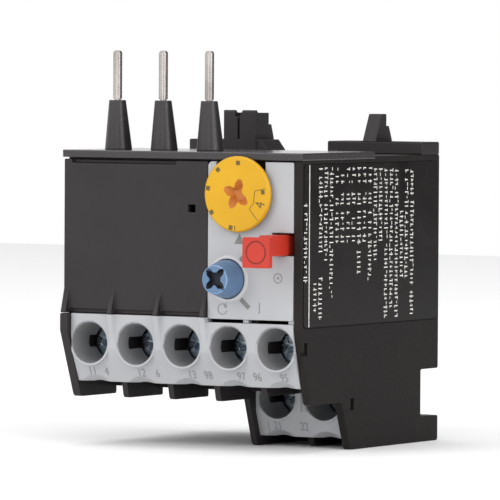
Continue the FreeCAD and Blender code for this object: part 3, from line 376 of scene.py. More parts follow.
@dataclass(frozen=True)
class MattLayer:
    """Printed ink or plain paper: matt, with a colour that varies from place to place.

    Args:
        name: The finish's name.
        colour: Main colour.
        other: Colour of the thin places or fibres.
        patch: Spacing of those places, in mm.
        roughness: Roughness of the layer.
        detail: How finely the places are broken up.
        reach: Values of the pattern where the other colour starts and is full.
    """

    name: str
    colour: str
    other: str
    patch: float = 0.5
    roughness: float = 0.55
    detail: float = 3.0
    reach: Point = (0.4, 0.75)

    def build(self) -> bpy.types.Material:
        """Make the node material.

        Returns:
            The material.
        """
        material, tree, place = blank_material(self.name)
        pattern = add_node(tree, "ShaderNodeTexNoise", {
            "Vector": place, "Scale": per_mm(self.patch), "Detail": self.detail}).outputs[0]
        connect(tree, tree.nodes["Principled BSDF"], {
            "Base Color": mottled(tree, pattern, self.reach, self.colour, self.other),
            "Roughness": self.roughness})
        return material


class Finish(Enum):
    """Every finish of the relay, each built once."""

    # Glass-filled polyamide from an eroded mould: a dull, warm black that greys a little on its edges.
    BLACK_POLYAMIDE = MouldedPlastic(
        "polyamide_black_eroded", "#262223", "#221E1F", "#4A4647", 0.5, index=1.38)
    # The cap is a cleaner run of the same resin, a shade lighter and smoother.
    CAP_POLYAMIDE = MouldedPlastic(
        "polyamide_dark_grey_cap", "#332F32", "#2F2C2E", "#6A676B", 0.26, depth=0.001, speckle=0.02)
    # Its top face is glossier, and a lighter colour paints the highlight that it catches at a low angle.
    CAP_TOP = MouldedPlastic(
        "polyamide_dark_grey_rubbed", "#4A474B", "#454246", "#77747A", 0.13, depth=0.0005, speckle=0.02)
    # The pin sleeves come from a polished cavity: black with a soft satin band.
    SLEEVE_POLYAMIDE = MouldedPlastic(
        "polyamide_black_satin", "#2C282A", "#282426", "#575356", 0.34, depth=0.003)
    # The side cover: a darker, flatter and browner copy of the black polyamide, whose darker colour paints
    # the shade of the side turned from the light.
    SIDE_POLYAMIDE = MouldedPlastic("polyamide_black_side", "#1A1615", "#171413", "#3A3534", 0.6, index=1.3)
    # Light grey polycarbonate: smooth, with an even satin sheen.
    GREY_POLYCARBONATE = MouldedPlastic(
        "polycarbonate_light_grey", "#A7A8AB", "#A2A3A6", "#BFC0C3", 0.45, depth=0.006)
    # The same resin inside the deep funnels, in a darker grey that paints the shade there, and a little
    # rougher.
    GREY_FUNNEL = MouldedPlastic(
        "polycarbonate_grey_in_funnel", "#868688", "#808082", "#A2A2A4", 0.55, depth=0.006)
    # The thin collar round the knob: a paler copy of the same resin that paints the light showing through and
    # on it.
    PALE_COLLAR = MouldedPlastic(
        "polycarbonate_collar_rim", "#C0C0C2", "#BABABC", "#D2D2D4", 0.4, depth=0.004)
    # Dyed acetal: strong colour, waxy sheen and no visible grain.
    YELLOW_ACETAL = MouldedPlastic(
        "acetal_signal_yellow", "#CB9A07", "#C49305", "#E4B230", 0.42, depth=0.004, index=1.42)
    RED_ACETAL = MouldedPlastic(
        "acetal_signal_red", "#B73122", "#AF2D1F", "#CB5144", 0.42, depth=0.004, index=1.42)
    BLUE_ACETAL = MouldedPlastic(
        "acetal_signal_blue", "#5A7596", "#557090", "#86A0C2", 0.4, depth=0.004, index=1.42)
    # In their recesses the dyed acetals take darker, duller colours that paint the shade there.
    BROWN_RECESS = MouldedPlastic("acetal_yellow_in_shade", "#C67A2C", "#B36A28", "#D8953A", 0.6, depth=0.004)
    RED_GROOVE = MouldedPlastic("acetal_red_in_shade", "#8A2116", "#821E14", "#9A2C20", 0.6, depth=0.004)
    DARK_RECESS = MouldedPlastic("acetal_blue_in_shade", "#1E2430", "#1A202B", "#2A3242", 0.7, depth=0.004)
    # The knob's front rim takes a paler blue that paints its highlight.
    BLUE_RIM = MouldedPlastic("acetal_blue_rubbed_rim", "#7F9ABE", "#7893B6", "#93ACCC", 0.35, depth=0.004)
    # Natural acetal of the inner levers and slides: milky and slightly yellow.
    NATURAL_ACETAL = MouldedPlastic("acetal_natural", "#CFC9B8", "#C6BFAC", "#E0DBCC", 0.38, depth=0.004)
    # Laminated label film: deep black with a broken gloss.
    LABEL_FILM = GlossFilm("polyester_film_black", "#120F0E", "#1A1716")
    # Blue-passivated zinc on the screws: bright, cold and slightly mottled.
    BLUE_ZINC = PlatedMetal("zinc_blue_passivated", "#DCE7F0", "#A6BED2", 0.3, (0.4, 0.4, 0.4), 0.03)
    # Zinc on stamped steel: greyer, with the marks of the strip it was cut from.
    PLATE_ZINC = PlatedMetal("zinc_on_stamped_steel", "#AEB6BD", "#8E99A5", 0.34, (0.25, 0.25, 1.2))
    # Bright-tinned copper: silvery and slightly warm, with long, faint drawing marks.
    TINNED_COPPER = PlatedMetal(
        "copper_bright_tinned", "#BFB9B6", "#A49D9A", 0.24, (0.3, 0.3, 12.0), 0.0002, 6.0, 0.0, 0.02)
    # Drawn spring wire: even grey with fine rings.
    SPRING_STEEL = PlatedMetal("steel_spring_wire", "#9B9B9B", "#7A7A7C", 0.3, (0.2, 0.6, 0.2))
    # Stamped brass of the contacts: warm yellow.
    BRASS = PlatedMetal("brass_stamped", "#C79A52", "#A87E3F", 0.3, (0.6, 0.2, 0.2))
    # Rolled bimetal: dull, yellowish grey with marks along the strip.
    BIMETAL = PlatedMetal("bimetal_rolled_strip", "#A89B86", "#8D8474", 0.36, (0.2, 0.2, 3.0))
    # Heater band: resistance alloy browned by its own heat.
    HEATER_BAND = PlatedMetal("heater_band_oxidised", "#6B625A", "#544C48", 0.5, (1.5, 1.5, 0.2))
    # Printed inks: flat and matt beside the plastics that they stand on.
    GREY_INK = MattLayer("pad_print_grey", "#6A6A6A", "#787878")
    PALE_INK = MattLayer("pad_print_pale_grey", "#78787A", "#868688")
    BROWN_INK = MattLayer("pad_print_brown", "#5A4612", "#6B581E")
    WHITE_INK = MattLayer("pad_print_white", "#EEECE8", "#CFCDC9")
    # Matt white paper under the relay.
    FLOOR_PAPER = MattLayer("paper_white", "#F4F4F4", "#EFEFEF", 6.0, 0.9, 4.0, (0.0, 1.0))

    def material(self) -> bpy.types.Material:
        """Give the finish's material, building it on first use."""
        return bpy.data.materials.get(self.value.name) or self.value.build()


# ---------------------------------------------------------------- places and meshes
@dataclass(frozen=True)
class Layout:
    """The relay's own axes inside the frame, in metres.

    Args:
        origin: Axis of the middle front terminal in the plane of the front cover.
    """

    origin: Vector

    @classmethod
    def from_frame(cls) -> "Layout":
        """Read the axes from the boxes of the front screws and the side cover.

        Returns:
            The layout.
        """
        low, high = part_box("terminal_screws_front")
        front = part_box("side_cover")[0].y
        return cls(Vector(((low.x + high.x) / 2, front, (low.z + high.z) / 2)))

    def point(self, x: float, y: float, z: float) -> Vector:
        """Place of a point given in millimetres."""
        return self.origin + Vector((x, y, z)) * MM

    def centre(self, node: str) -> Vector:
        """Middle of a CAD node's box, in millimetres from the origin."""
        low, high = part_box(node)
        return ((low + high) / 2 - self.origin) / MM

    def low(self, node: str) -> Vector:
        """Lowest corner of a CAD node's box, in millimetres from the origin."""
        return (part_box(node)[0] - self.origin) / MM

    def high(self, node: str) -> Vector:
        """Highest corner of a CAD node's box, in millimetres from the origin."""
        return (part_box(node)[1] - self.origin) / MM

    def front(self, node: str) -> Vector:
        """Middle of the front of a CAD node's box, in metres."""
        low, centre = self.low(node), self.centre(node)
        return self.point(centre.x, low.y, centre.z)


def smooth(mesh: bpy.types.Mesh) -> None:
    """Shade a mesh smooth except across its creases."""
    mesh.shade_smooth()
    mesh.set_sharp_from_angle(angle=math.radians(CREASE))


def stand(name: str, data: bpy.types.ID) -> bpy.types.Object:
    """Put a mesh, curve, light or camera into the scene.

    Args:
        name: The object's name.
        data: What it shows.

    Returns:
        The object, at the origin.
    """
    thing = bpy.data.objects.new(name, data)
    bpy.context.scene.collection.objects.link(thing)
    return thing


def coat(piece: bpy.types.Object, finish: Finish) -> None:
    """Give a whole piece one finish."""
    piece.data.materials.clear()
    piece.data.materials.append(finish.material())


def baked(source: bpy.types.Object) -> bpy.types.Mesh:
    """Take an object's shape with its modifiers applied.

    Args:
        source: A mesh, curve or text object.

    Returns:
        The shape as a new mesh.
    """
    bpy.context.view_layer.update()
    evaluated = source.evaluated_get(bpy.context.evaluated_depsgraph_get())
    return bpy.data.meshes.new_from_object(evaluated)


def apply_modifiers(piece: bpy.types.Object) -> None:
    """Turn an object's modifiers into plain mesh.

    Args:
        piece: The object.
    """
    mesh = baked(piece)
    piece.modifiers.clear()
    piece.data = mesh


def meshed(curve: bpy.types.Curve) -> bpy.types.Mesh:
    """Turn a curve or text into a mesh.

    Args:
        curve: The curve or text.

    Returns:
        Its mesh.
    """
    draft = stand(curve.name, curve)
    mesh = baked(draft)
    bpy.data.objects.remove(draft)
    return mesh


def mesh_piece(name: str, form: bmesh.types.BMesh, finish: Finish | None = None) -> bpy.types.Object:
    """Turn a bmesh, in metres, into an object at the origin.

    Args:
        name: The piece's name.
        form: The mesh under construction, freed here.
        finish: Its finish, or None for a cutter.

    Returns:
        The new object.
    """
    bmesh.ops.recalc_face_normals(form, faces=form.faces)
    mesh = bpy.data.meshes.new(name)
    form.to_mesh(mesh)
    form.free()
    smooth(mesh)
    piece = stand(name, mesh)
    if finish is not None:
        coat(piece, finish)
    return piece


def extrude_outline(form: bmesh.types.BMesh, outline: Sequence[Vector], along: Vector) -> None:
    """Add a prism to a mesh.

    Args:
        form: The mesh under construction.
        outline: Corners of one end.
        along: From that end to the other.
    """
    face = form.faces.new([form.verts.new(corner) for corner in outline])
    grown = bmesh.ops.extrude_face_region(form, geom=[face])
    moved = [item for item in grown["geom"] if isinstance(item, bmesh.types.BMVert)]
    bmesh.ops.translate(form, verts=moved, vec=along)


def carve(piece: bpy.types.Object, cutter: bpy.types.Object, operation: str = "DIFFERENCE") -> None:
    """Cut one object out of another, or fuse it on, and delete it.

    Args:
        piece: The object that stays.
        cutter: The other one.
        operation: DIFFERENCE to cut, UNION to fuse.
    """
    cut = piece.modifiers.new("cut", "BOOLEAN")
    cut.object = cutter
    cut.operation = operation
    cut.solver = "EXACT"
    apply_modifiers(piece)
    smooth(piece.data)
    bpy.data.objects.remove(cutter)


def rod(profile: Sequence[Point], centre: Vector, segments: int = 64) -> bpy.types.Object:
    """Solid turned about an axis along Y, for cutting or fusing.

    Args:
        profile: Radius and depth of each corner, in mm.
        centre: Point on the axis, in metres.
        segments: Steps round the axis.

    Returns:
        The solid, without a finish.
    """
    form = bmesh.new()
    verts = [form.verts.new(centre + Vector((radius * MM, depth * MM, 0))) for radius, depth in profile]
    edges = [form.edges.new(pair) for pair in zip(verts, verts[1:])]
    bmesh.ops.spin(form, geom=verts + edges, cent=centre, axis=(0, 1, 0), angle=math.tau,
                   steps=segments, use_merge=True)
    bmesh.ops.remove_doubles(form, verts=form.verts, dist=1e-7)
    return mesh_piece("turned_tool", form)


def wedge(centre: Vector, angle: float, mouth: Point, floor: Point, depth: float) -> bpy.types.Object:
    """Arm of a driver recess, which narrows towards its floor and ends in a blunt tip.

    Args:
        centre: Middle of the recess on the face, in metres.
        angle: Direction of the arm, in degrees from +X towards +Z.
        mouth: Length and half width at the face, in mm.
        floor: Length and half width at the floor, in mm.
        depth: Depth of the floor, in mm.

    Returns:
        The arm, without a finish.
    """
    turn = math.radians(angle)
    out = Vector((math.cos(turn), 0, math.sin(turn)))
    across = Vector((-math.sin(turn), 0, math.cos(turn)))
    above, tip = 0.5, 0.4
    form = bmesh.new()
    rings = []
    for level in (-above, depth):
        share = level / depth
        length, half = (a + (b - a) * share for a, b in zip(mouth, floor))
        rings.append([form.verts.new(centre + (out * x + across * z + Vector((0, level, 0))) * MM)
                      for x, z in ((-half, -half), (length - half, -half), (length, -half * tip),
                                   (length, half * tip), (length - half, half), (-half, half))])
    top, bottom = rings
    form.faces.new(top)
    form.faces.new(bottom)
    for step, corner in enumerate(top):
        following = (step + 1) % len(top)
        form.faces.new((corner, top[following], bottom[following], bottom[step]))
    return mesh_piece("recess_arm", form)


def polar(centre: Point, radius: float, angle: float) -> Point:
    """Point on a circle, at an angle in degrees from +X towards +Z."""
    turn = math.radians(angle)
    return (centre[0] + radius * math.cos(turn), centre[1] + radius * math.sin(turn))


def bar(start: Point, end: Point, width: float) -> list[Point]:
    """Outline a straight bar.

    Args:
        start: One end.
        end: The other end.
        width: Width across.

    Returns:
        The bar's corners, half a width past each end.
    """
    a, b = Vector(start), Vector(end)
    along = (b - a).normalized() * width / 2
    side = Vector((-along.y, along.x))
    return [tuple(a + side), tuple(b + side), tuple(b - side), tuple(a - side)]


def ring(centre: Point, radius: float, stroke: float, start: int = 0, end: int = 360) -> list[list[Point]]:
    """Outline a thin printed ring or arc as short bars.

    Args:
        centre: Middle of the ring.
        radius: Its radius.
        stroke: Width of its line.
        start: Where it starts, in degrees.
        end: Where it ends, in degrees.

    Returns:
        The corners of each bar.
    """
    places = [polar(centre, radius, angle) for angle in range(start, end + 1, 15)]
    return [bar(a, b, stroke) for a, b in zip(places, places[1:])]


def printed(name: str, layout: Layout, face: float, outlines: Sequence[Sequence[Point]],
            finish: Finish) -> bpy.types.Object:
    """Print flat marks on a face that looks to the front.

    Args:
        name: The piece's name.
        layout: The relay's axes.
        face: Depth of the face, in mm.
        outlines: Corners of each mark, X and Z in mm.
        finish: The ink.

    Returns:
        The marks as one object.
    """
    form = bmesh.new()
    for outline in outlines:
        corners = [layout.point(x, face, z) for x, z in outline]
        extrude_outline(form, corners, Vector((0, -PRINT_HEIGHT * MM, 0)))
    return mesh_piece(name, form, finish)


def numeral(name: str, text: str, place: Vector, size: float, finish: Finish, lean: float = 0.0,
            roll: float = 0.0) -> bpy.types.Object:
    """Thin printed number that faces the front.

    Args:
        name: The piece's name.
        text: The digits.
        place: Middle of the number on the face, in metres.
        size: Height of the digits, in metres.
        finish: The ink.
        lean: Slope of the face behind the number, in radians; its foot stands further back.
        roll: Turn of the number in its own face, in radians.

    Returns:
        The number as a mesh at the origin.
    """
    size_per_height, thinner, narrow = 1.38, 0.003, 0.78
    text_curve = bpy.data.curves.new(name, "FONT")
    text_curve.body = text
    text_curve.size = size * size_per_height
    text_curve.align_x = "CENTER"
    text_curve.align_y = "CENTER"
    text_curve.offset = -thinner * size
    text_curve.extrude = INK
    mesh = meshed(text_curve)
    turn = Matrix.Rotation(math.radians(90) + lean, 4, "X") @ Matrix.Rotation(roll, 4, "Z")
    mesh.transform(Matrix.Translation(place) @ turn @ Matrix.Diagonal((narrow, 1.0, 1.0, 1.0)))
    piece = stand(name, mesh)
    coat(piece, finish)
    return piece


def polish(node: str, finish: Finish, width: float = 0.15, segments: int = 2,
           reshape: Callable[[bpy.types.Object], None] | None = None) -> bpy.types.Object:
    """Stand a finer copy, with softened edges, in the place of a CAD node.

    Args:
        node: The CAD node.
        finish: The copy's finish.
        width: Width of the softened edges, in mm.
        segments: Steps across each softened edge.
        reshape: Cuts or fuses details before the edges are softened.

    Returns:
        The copy, riding on the node's body.
    """
    merging, flatness, softened = 0.002 * MM, math.radians(0.6), math.radians(40.0)
    source = FRAME["nodes"][node]
    form = bmesh.new()
    form.from_mesh(source.data)
    bmesh.ops.remove_doubles(form, verts=form.verts, dist=merging)
    bmesh.ops.dissolve_limit(form, angle_limit=flatness, verts=form.verts, edges=form.edges)
    mesh = bpy.data.meshes.new(node + "_finished")
    form.to_mesh(mesh)
    form.free()
    if "custom_normal" in mesh.attributes:
        mesh.attributes.remove(mesh.attributes["custom_normal"])
    smooth(mesh)
    piece = stand(node + "_finished", mesh)
    if reshape is not None:
        reshape(piece)
    if width:
        softening = piece.modifiers.new("soft_edges", "BEVEL")
        softening.width = width * MM
        softening.segments = segments
        softening.limit_method = "ANGLE"
        softening.angle_limit = softened
        evening = piece.modifiers.new("even_normals", "WEIGHTED_NORMAL")
        evening.keep_sharp = True
        apply_modifiers(piece)
    coat(piece, finish)
    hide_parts(node)
    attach(piece, source["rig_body"])
    return piece


def dress(finish: Finish, *nodes: str) -> list[bpy.types.Object]:
    """Give CAD nodes a finish and keep their own meshes.

    Args:
        finish: The finish.
        *nodes: The CAD nodes.

    Returns:
        Their objects.
    """
    dressed = [FRAME["nodes"][node] for node in nodes]
    for piece in dressed:
        coat(piece, finish)
    return dressed


def recoat(piece: bpy.types.Object, finish: Finish, inside: FaceTest) -> None:
    """Give some faces of a piece a second finish.

    Args:
        piece: The piece.
        finish: The second finish.
        inside: Says from a face's centre and normal whether it takes that finish.
    """
    piece.data.materials.append(finish.material())
    index = len(piece.data.materials) - 1
    for face in piece.data.polygons:
        if inside(face.center, face.normal):
            face.material_index = index


def recoat_round(piece: bpy.types.Object, finish: Finish, axis: Vector, depths: Point, radii: Point) -> None:
    """Give a second finish to the faces round an axis along Y.

    Args:
        piece: The piece.
        finish: The second finish.
        axis: Point on the axis, in metres.
        depths: Nearest and furthest depth from that point, in mm.
        radii: Inner and outer radius, in mm.
    """
    def inside(place: Vector, _: Vector) -> bool:
        """Say whether a face lies in the band.

        Args:
            place: The face's centre.

        Returns:
            Whether it does.
        """
        depth = (place.y - axis.y) / MM
        radius = math.hypot(place.x - axis.x, place.z - axis.z) / MM
        return depths[0] < depth < depths[1] and radii[0] <= radius < radii[1]

    recoat(piece, finish, inside)


def screw_axes(node: str) -> list[Vector]:
    """Find where the axes of a row of screws meet the front of their heads.

    Args:
        node: The CAD node of the row.

    Returns:
        One place for each screw, in metres, from the left.
    """
    low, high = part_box(node)
    half = (high.z - low.z) / 2
    pitch = TERMINAL_PITCH * MM
    count = round((high.x - low.x - 2 * half) / pitch) + 1
    return [Vector((low.x + half + step * pitch, low.y, low.z + half)) for step in range(count)]


# ---------------------------------------------------------------- repeats by Geometry Nodes
class RepeatTree:
    """Geometry Nodes tree with named inputs, whose result becomes one plain mesh."""

    NAME = "repeat"
    INPUTS: dict[str, str] = {}

    def __init__(self) -> None:
        """Build the tree: named inputs, what repeats, then real geometry with one finish."""
        self.tree = bpy.data.node_groups.new(self.NAME, "GeometryNodeTree")
        face = self.tree.interface
        self.sockets = {name: face.new_socket(name=name, in_out="INPUT", socket_type="NodeSocket" + kind)
                        for name, kind in {**self.INPUTS, "Seed": "Int", "Finish": "Material"}.items()}
        face.new_socket(name="Geometry", in_out="OUTPUT", socket_type="NodeSocketGeometry")
        self.given = add_node(self.tree, "NodeGroupInput").outputs
        real = add_node(self.tree, "GeometryNodeRealizeInstances", {0: self.copies()})
        coated = add_node(self.tree, "GeometryNodeSetMaterial", {
            "Geometry": real.outputs[0], "Material": self.given["Finish"]})
        add_node(self.tree, "NodeGroupOutput", {0: coated.outputs[0]})

    def copies(self) -> bpy.types.NodeSocket:
        """Make what repeats; each kind of tree has its own."""
        raise NotImplementedError

    def product(self, first: bpy.types.NodeSocket, second: bpy.types.NodeSocket) -> bpy.types.NodeSocket:
        """Multiply two values."""
        return add_node(self.tree, "ShaderNodeMath", {0: first, 1: second}, operation="MULTIPLY").outputs[0]

    def chance(self, offset: int, low: float, high: float) -> bpy.types.NodeSocket:
        """Draw a random value for each point.

        Args:
            offset: What is added to the tree's seed.
            low: Lowest value.
            high: Highest value.

        Returns:
            The random value.
        """
        seed = add_node(self.tree, "ShaderNodeMath", {
            0: self.given["Seed"], 1: float(offset)}, operation="ADD")
        return add_node(self.tree, "FunctionNodeRandomValue", {2: low, 3: high, "Seed": seed.outputs[0]},
                        data_type="FLOAT").outputs[1]

    def grow(self, name: str, values: dict) -> bpy.types.Object:
        """Run the tree once and keep its result as a plain mesh.

        Args:
            name: The new piece's name.
            values: The tree's inputs by name.

        Returns:
            The result as an object at the origin.
        """
        seedling = stand(name, bpy.data.meshes.new(name + "_start"))
        modifier = seedling.modifiers.new("repeat", "NODES")
        modifier.node_group = self.tree
        for key, value in values.items():
            modifier[self.sockets[key].identifier] = value
        apply_modifiers(seedling)
        smooth(seedling.data)
        return seedling


class RowTree(RepeatTree):
    """Copies of one piece along a straight row.

    Each copy may be turned by a random share of a given angle about Y.
    """

    NAME = "pieces_in_a_row"
    INPUTS = {"Piece": "Object", "Count": "Int", "First": "Vector", "Step": "Vector", "Turn": "Float"}

    def copies(self) -> bpy.types.NodeSocket:
        """Stand the copies on the points of a line.

        Returns:
            The copies as instances.
        """
        line = add_node(self.tree, "GeometryNodeMeshLine", {
            "Count": self.given["Count"], "Start Location": self.given["First"],
            "Offset": self.given["Step"]}, mode="OFFSET")
        piece = add_node(self.tree, "GeometryNodeObjectInfo", {"Object": self.given["Piece"]})
        turn = self.product(self.chance(0, 0.0, 1.0), self.given["Turn"])
        angles = add_node(self.tree, "ShaderNodeCombineXYZ", {"Y": turn})
        return add_node(self.tree, "GeometryNodeInstanceOnPoints", {
            "Points": line.outputs[0], "Instance": piece.outputs["Geometry"],
            "Rotation": angles.outputs[0]}).outputs[0]


class PrintedRowsTree(RepeatTree):
    """Rows of fine printed strokes along the edges of a guide.

    Strokes across and along the row stand at an even pitch. Their sizes, shifts and gaps are random,
    so a row looks like small print and holds no letter.
    """

    NAME = "printed_rows"
    INPUTS = {"Guide": "Object", "Pitch": "Float", "Height": "Float", "Stroke": "Float"}
    SEEDS_PER_KIND = 3
    GAP_SHARE = 0.16

    def copies(self) -> bpy.types.NodeSocket:
        """Stand both kinds of stroke along the rows.

        Returns:
            The strokes as instances.
        """
        guide = add_node(self.tree, "GeometryNodeObjectInfo", {"Object": self.given["Guide"]})
        lines = add_node(self.tree, "GeometryNodeMeshToCurve", {"Mesh": guide.outputs["Geometry"]})
        points = add_node(self.tree, "GeometryNodeCurveToPoints", {
            "Curve": lines.outputs[0], "Length": self.given["Pitch"]}, mode="LENGTH").outputs[0]
        join = add_node(self.tree, "GeometryNodeJoinGeometry")
        for kind, across in enumerate((True, False)):
            self.tree.links.new(self.strokes(points, kind * self.SEEDS_PER_KIND, across), join.inputs[0])
        return join.outputs[0]

    def strokes(self, points: bpy.types.NodeSocket, offset: int, across: bool) -> bpy.types.NodeSocket:
        """Stand one kind of stroke on the points.

        Args:
            points: Places along the rows.
            offset: First of its three seeds.
            across: Whether the strokes stand across their row.

        Returns:
            The strokes as instances.
        """
        pitch, height, thin = (self.given[name] for name in ("Pitch", "Height", "Stroke"))
        if across:
            size = {"X": INK, "Y": self.product(self.chance(offset, 0.55, 1.0), height), "Z": thin}
            shift = {"Z": self.product(self.chance(offset + 1, -0.2, 0.2), pitch)}
        else:
            size = {"X": INK, "Y": thin, "Z": self.product(self.chance(offset, 0.4, 0.85), pitch)}
            shift = {"Y": self.product(self.chance(offset + 1, -0.45, 0.45), height)}
        moved = add_node(self.tree, "GeometryNodeSetPosition", {
            "Geometry": points, "Offset": add_node(self.tree, "ShaderNodeCombineXYZ", shift).outputs[0]})
        kept = add_node(self.tree, "ShaderNodeMath", {
            0: self.chance(offset + 2, 0.0, 1.0), 1: self.GAP_SHARE}, operation="GREATER_THAN")
        stroke = add_node(self.tree, "GeometryNodeMeshCube", {"Size": Vector((1.0, 1.0, 1.0))})
        return add_node(self.tree, "GeometryNodeInstanceOnPoints", {
            "Points": moved.outputs[0], "Instance": stroke.outputs[0], "Selection": kept.outputs[0],
            "Scale": add_node(self.tree, "ShaderNodeCombineXYZ", size).outputs[0]}).outputs[0]


# ---------------------------------------------------------------- sub-assemblies
@dataclass
class SubAssembly:
    """Part of the relay that is built and dressed on its own."""

    layout: Layout

    def build(self) -> list[bpy.types.Object]:
        """Build and dress the pieces; each sub-assembly has its own way."""
        raise NotImplementedError


@dataclass
class Casing(SubAssembly):
    """Black mouldings: housing, side cover with its label, front cover, cap and hooks."""

    soft_edge: float = 0.16
    cap_edge: float = 0.2
    line_depth: float = 2.2
    line_width: float = 0.22
    print_pitch: float = 0.72
    print_height: float = 1.25
    print_stroke: float = 0.17
    print_seed: int = 7
    print_clearance: float = 0.005
    line_margin: float = 0.1
    # Runs of small print on the label. The table's rows are depths, its columns tops and bottoms, and
    # its long entries depths and bottoms; the other rows are depths, tops and bottoms.
    table_rows: tuple[float, ...] = (11.2, 12.95, 14.8, 16.6, 18.4, 20.2, 22.0)
    table_columns: tuple[Point, ...] = ((28.8, 26.7), (24.7, 23.2), (21.7, 19.1), (17.9, 17.1))
    long_entry_top: float = 16.8
    long_entries: tuple[Point, ...] = ((18.4, 12.0), (22.0, 10.8))
    rows: tuple[tuple[float, float, float], ...] = (
        (1.1, 23.2, 11.0), (4.15, 10.5, 6.3), (5.9, 28.9, 15.7), (5.9, 11.2, 5.0), (7.6, 28.9, 14.4),
        (9.4, 28.9, 8.3), (23.8, 28.5, 13.9), (25.55, 28.5, 16.9), (27.4, 28.4, 4.5), (29.15, 28.4, 6.0),
        (30.9, 28.3, 4.5), (32.6, 21.4, 11.0), (34.3, 28.2, 22.4), (34.3, 21.3, 10.8), (36.1, 28.1, 4.5))

    def build(self) -> list[bpy.types.Object]:
        """Finish the shells and print the label.

        Returns:
            The casing's pieces.
        """
        pieces = [polish(node, Finish.BLACK_POLYAMIDE, self.soft_edge)
                  for node in ("housing", "front_cover", "hook_left", "hook_right")]
        # The side cover takes a darker copy of the black polyamide that paints the shade of the side turned
        # from the light.
        pieces.append(polish("side_cover", Finish.SIDE_POLYAMIDE, self.soft_edge))
        cap = polish("top_cap", Finish.CAP_POLYAMIDE, self.cap_edge, segments=3)
        # The cap's top faces take a lighter colour that paints their highlight.
        recoat(cap, Finish.CAP_TOP, lambda _, normal: normal.z > 0.9)
        label = polish("side_label", Finish.LABEL_FILM, 0.0)
        return [*pieces, cap, label, self.label_rows(), self.label_line()]

    def label_rows(self) -> bpy.types.Object:
        """Print generic rows of strokes where small print would stand.

        Returns:
            The rows as one object.
        """
        face = self.layout.high("side_label").x + self.print_clearance
        runs = [*self.rows, *((y, *column) for y in self.table_rows for column in self.table_columns),
                *((y, self.long_entry_top, end) for y, end in self.long_entries)]
        form = bmesh.new()
        for y, top, bottom in runs:
            form.edges.new([form.verts.new(self.layout.point(face, y, z)) for z in (top, bottom)])
        guide = mesh_piece("label_guide", form)
        rows = PrintedRowsTree().grow("label_rows", {
            "Guide": guide, "Pitch": self.print_pitch * MM, "Height": self.print_height * MM,
            "Stroke": self.print_stroke * MM, "Seed": self.print_seed, "Finish": Finish.WHITE_INK.material()})
        bpy.data.objects.remove(guide)
        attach(rows, "case")
        return rows

    def label_line(self) -> bpy.types.Object:
        """Print the label's thin upright line.

        Returns:
            The line.
        """
        low, high = self.layout.low("side_label"), self.layout.high("side_label")
        face = high.x + self.print_clearance
        near, far = self.line_depth, self.line_depth + self.line_width
        bottom, top = low.z + self.line_margin, high.z - self.line_margin
        form = bmesh.new()
        outline = [self.layout.point(face, y, z) for y, z in (
            (near, bottom), (far, bottom), (far, top), (near, top))]
        extrude_outline(form, outline, Vector((INK, 0, 0)))
        line = mesh_piece("label_line", form, Finish.WHITE_INK)
        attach(line, "case")
        return line


@dataclass
class Panel(SubAssembly):
    """Light operator panel with its setting arrow, position bars and pictograms."""

    soft_edge: float = 0.15
    arrow: tuple[Point, ...] = ((10.9, 18.45), (11.85, 16.75), (9.95, 16.75))
    bars: tuple[tuple[Point, Point], ...] = (((11.2, 7.9), (12.75, 6.5)), ((10.75, 13.75), (11.75, 14.75)))
    bar_width: float = 0.75
    thin_stroke: float = 0.17
    reset_centre: Point = (7.8, 6.2)
    reset_radius: float = 0.85
    reset_arc: tuple[int, int] = (60, 345)
    reset_head_width: float = 0.9
    reset_head_turn: float = 48.7
    push_centre: Point = (18.1, 11.4)
    push_radius: float = 0.75
    push_dot_radius: float = 0.22
    push_dot_corners: int = 12
    number_place: Point = (14.7, 6.4)
    number_height: float = 1.9
    collar_radius: float = 3.9
    collar_depths: Point = (-1.0, -0.05)

    def build(self) -> list[bpy.types.Object]:
        """Finish the panel and print its marks.

        Returns:
            The panel and its marks.
        """
        panel = polish("operator_panel", Finish.GREY_POLYCARBONATE, self.soft_edge)
        knob = self.layout.centre("reset_knob")
        face = self.layout.low("side_cover").y
        # The collar round the knob takes a paler grey that paints the light on it.
        recoat_round(panel, Finish.PALE_COLLAR, self.layout.point(knob.x, face, knob.z),
                     self.collar_depths, (0.0, self.collar_radius))
        marks = [self.setting_marks(), self.reset_sign(), self.push_sign(), self.position_number()]
        for piece in marks:
            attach(piece, "case")
        return [panel, *marks]

    def setting_marks(self) -> bpy.types.Object:
        """Arrow below the dial and the two bars beside the knob."""
        outlines = [self.arrow, *(bar(start, end, self.bar_width) for start, end in self.bars)]
        return printed("panel_setting_marks", self.layout, 0.0, outlines, Finish.GREY_INK)

    def reset_sign(self) -> bpy.types.Object:
        """Print the open ring with an arrow head that stands for the reset.

        Returns:
            The sign.
        """
        start, half = self.reset_arc[0], self.reset_head_width / 2
        head = [polar(self.reset_centre, self.reset_radius + shift, start + turn)
                for shift, turn in ((half, 0.0), (-half, 0.0), (0.0, -self.reset_head_turn))]
        arc = ring(self.reset_centre, self.reset_radius, self.thin_stroke, *self.reset_arc)
        return printed("panel_reset_sign", self.layout, 0.0, [*arc, head], Finish.PALE_INK)

    def push_sign(self) -> bpy.types.Object:
        """Print the ring with a dot that stands for the push button.

        Returns:
            The sign.
        """
        turn = 360 / self.push_dot_corners
        dot = [polar(self.push_centre, self.push_dot_radius, turn * step)
               for step in range(self.push_dot_corners)]
        circle = ring(self.push_centre, self.push_radius, self.thin_stroke)
        return printed("panel_push_sign", self.layout, 0.0, [*circle, dot], Finish.PALE_INK)

    def position_number(self) -> bpy.types.Object:
        """Print the number of the knob's pressed position.

        Returns:
            The number.
        """
        x, z = self.number_place
        return numeral("panel_number", "1", self.layout.point(x, -PRINT_HEIGHT, z), self.number_height * MM,
                       Finish.PALE_INK)


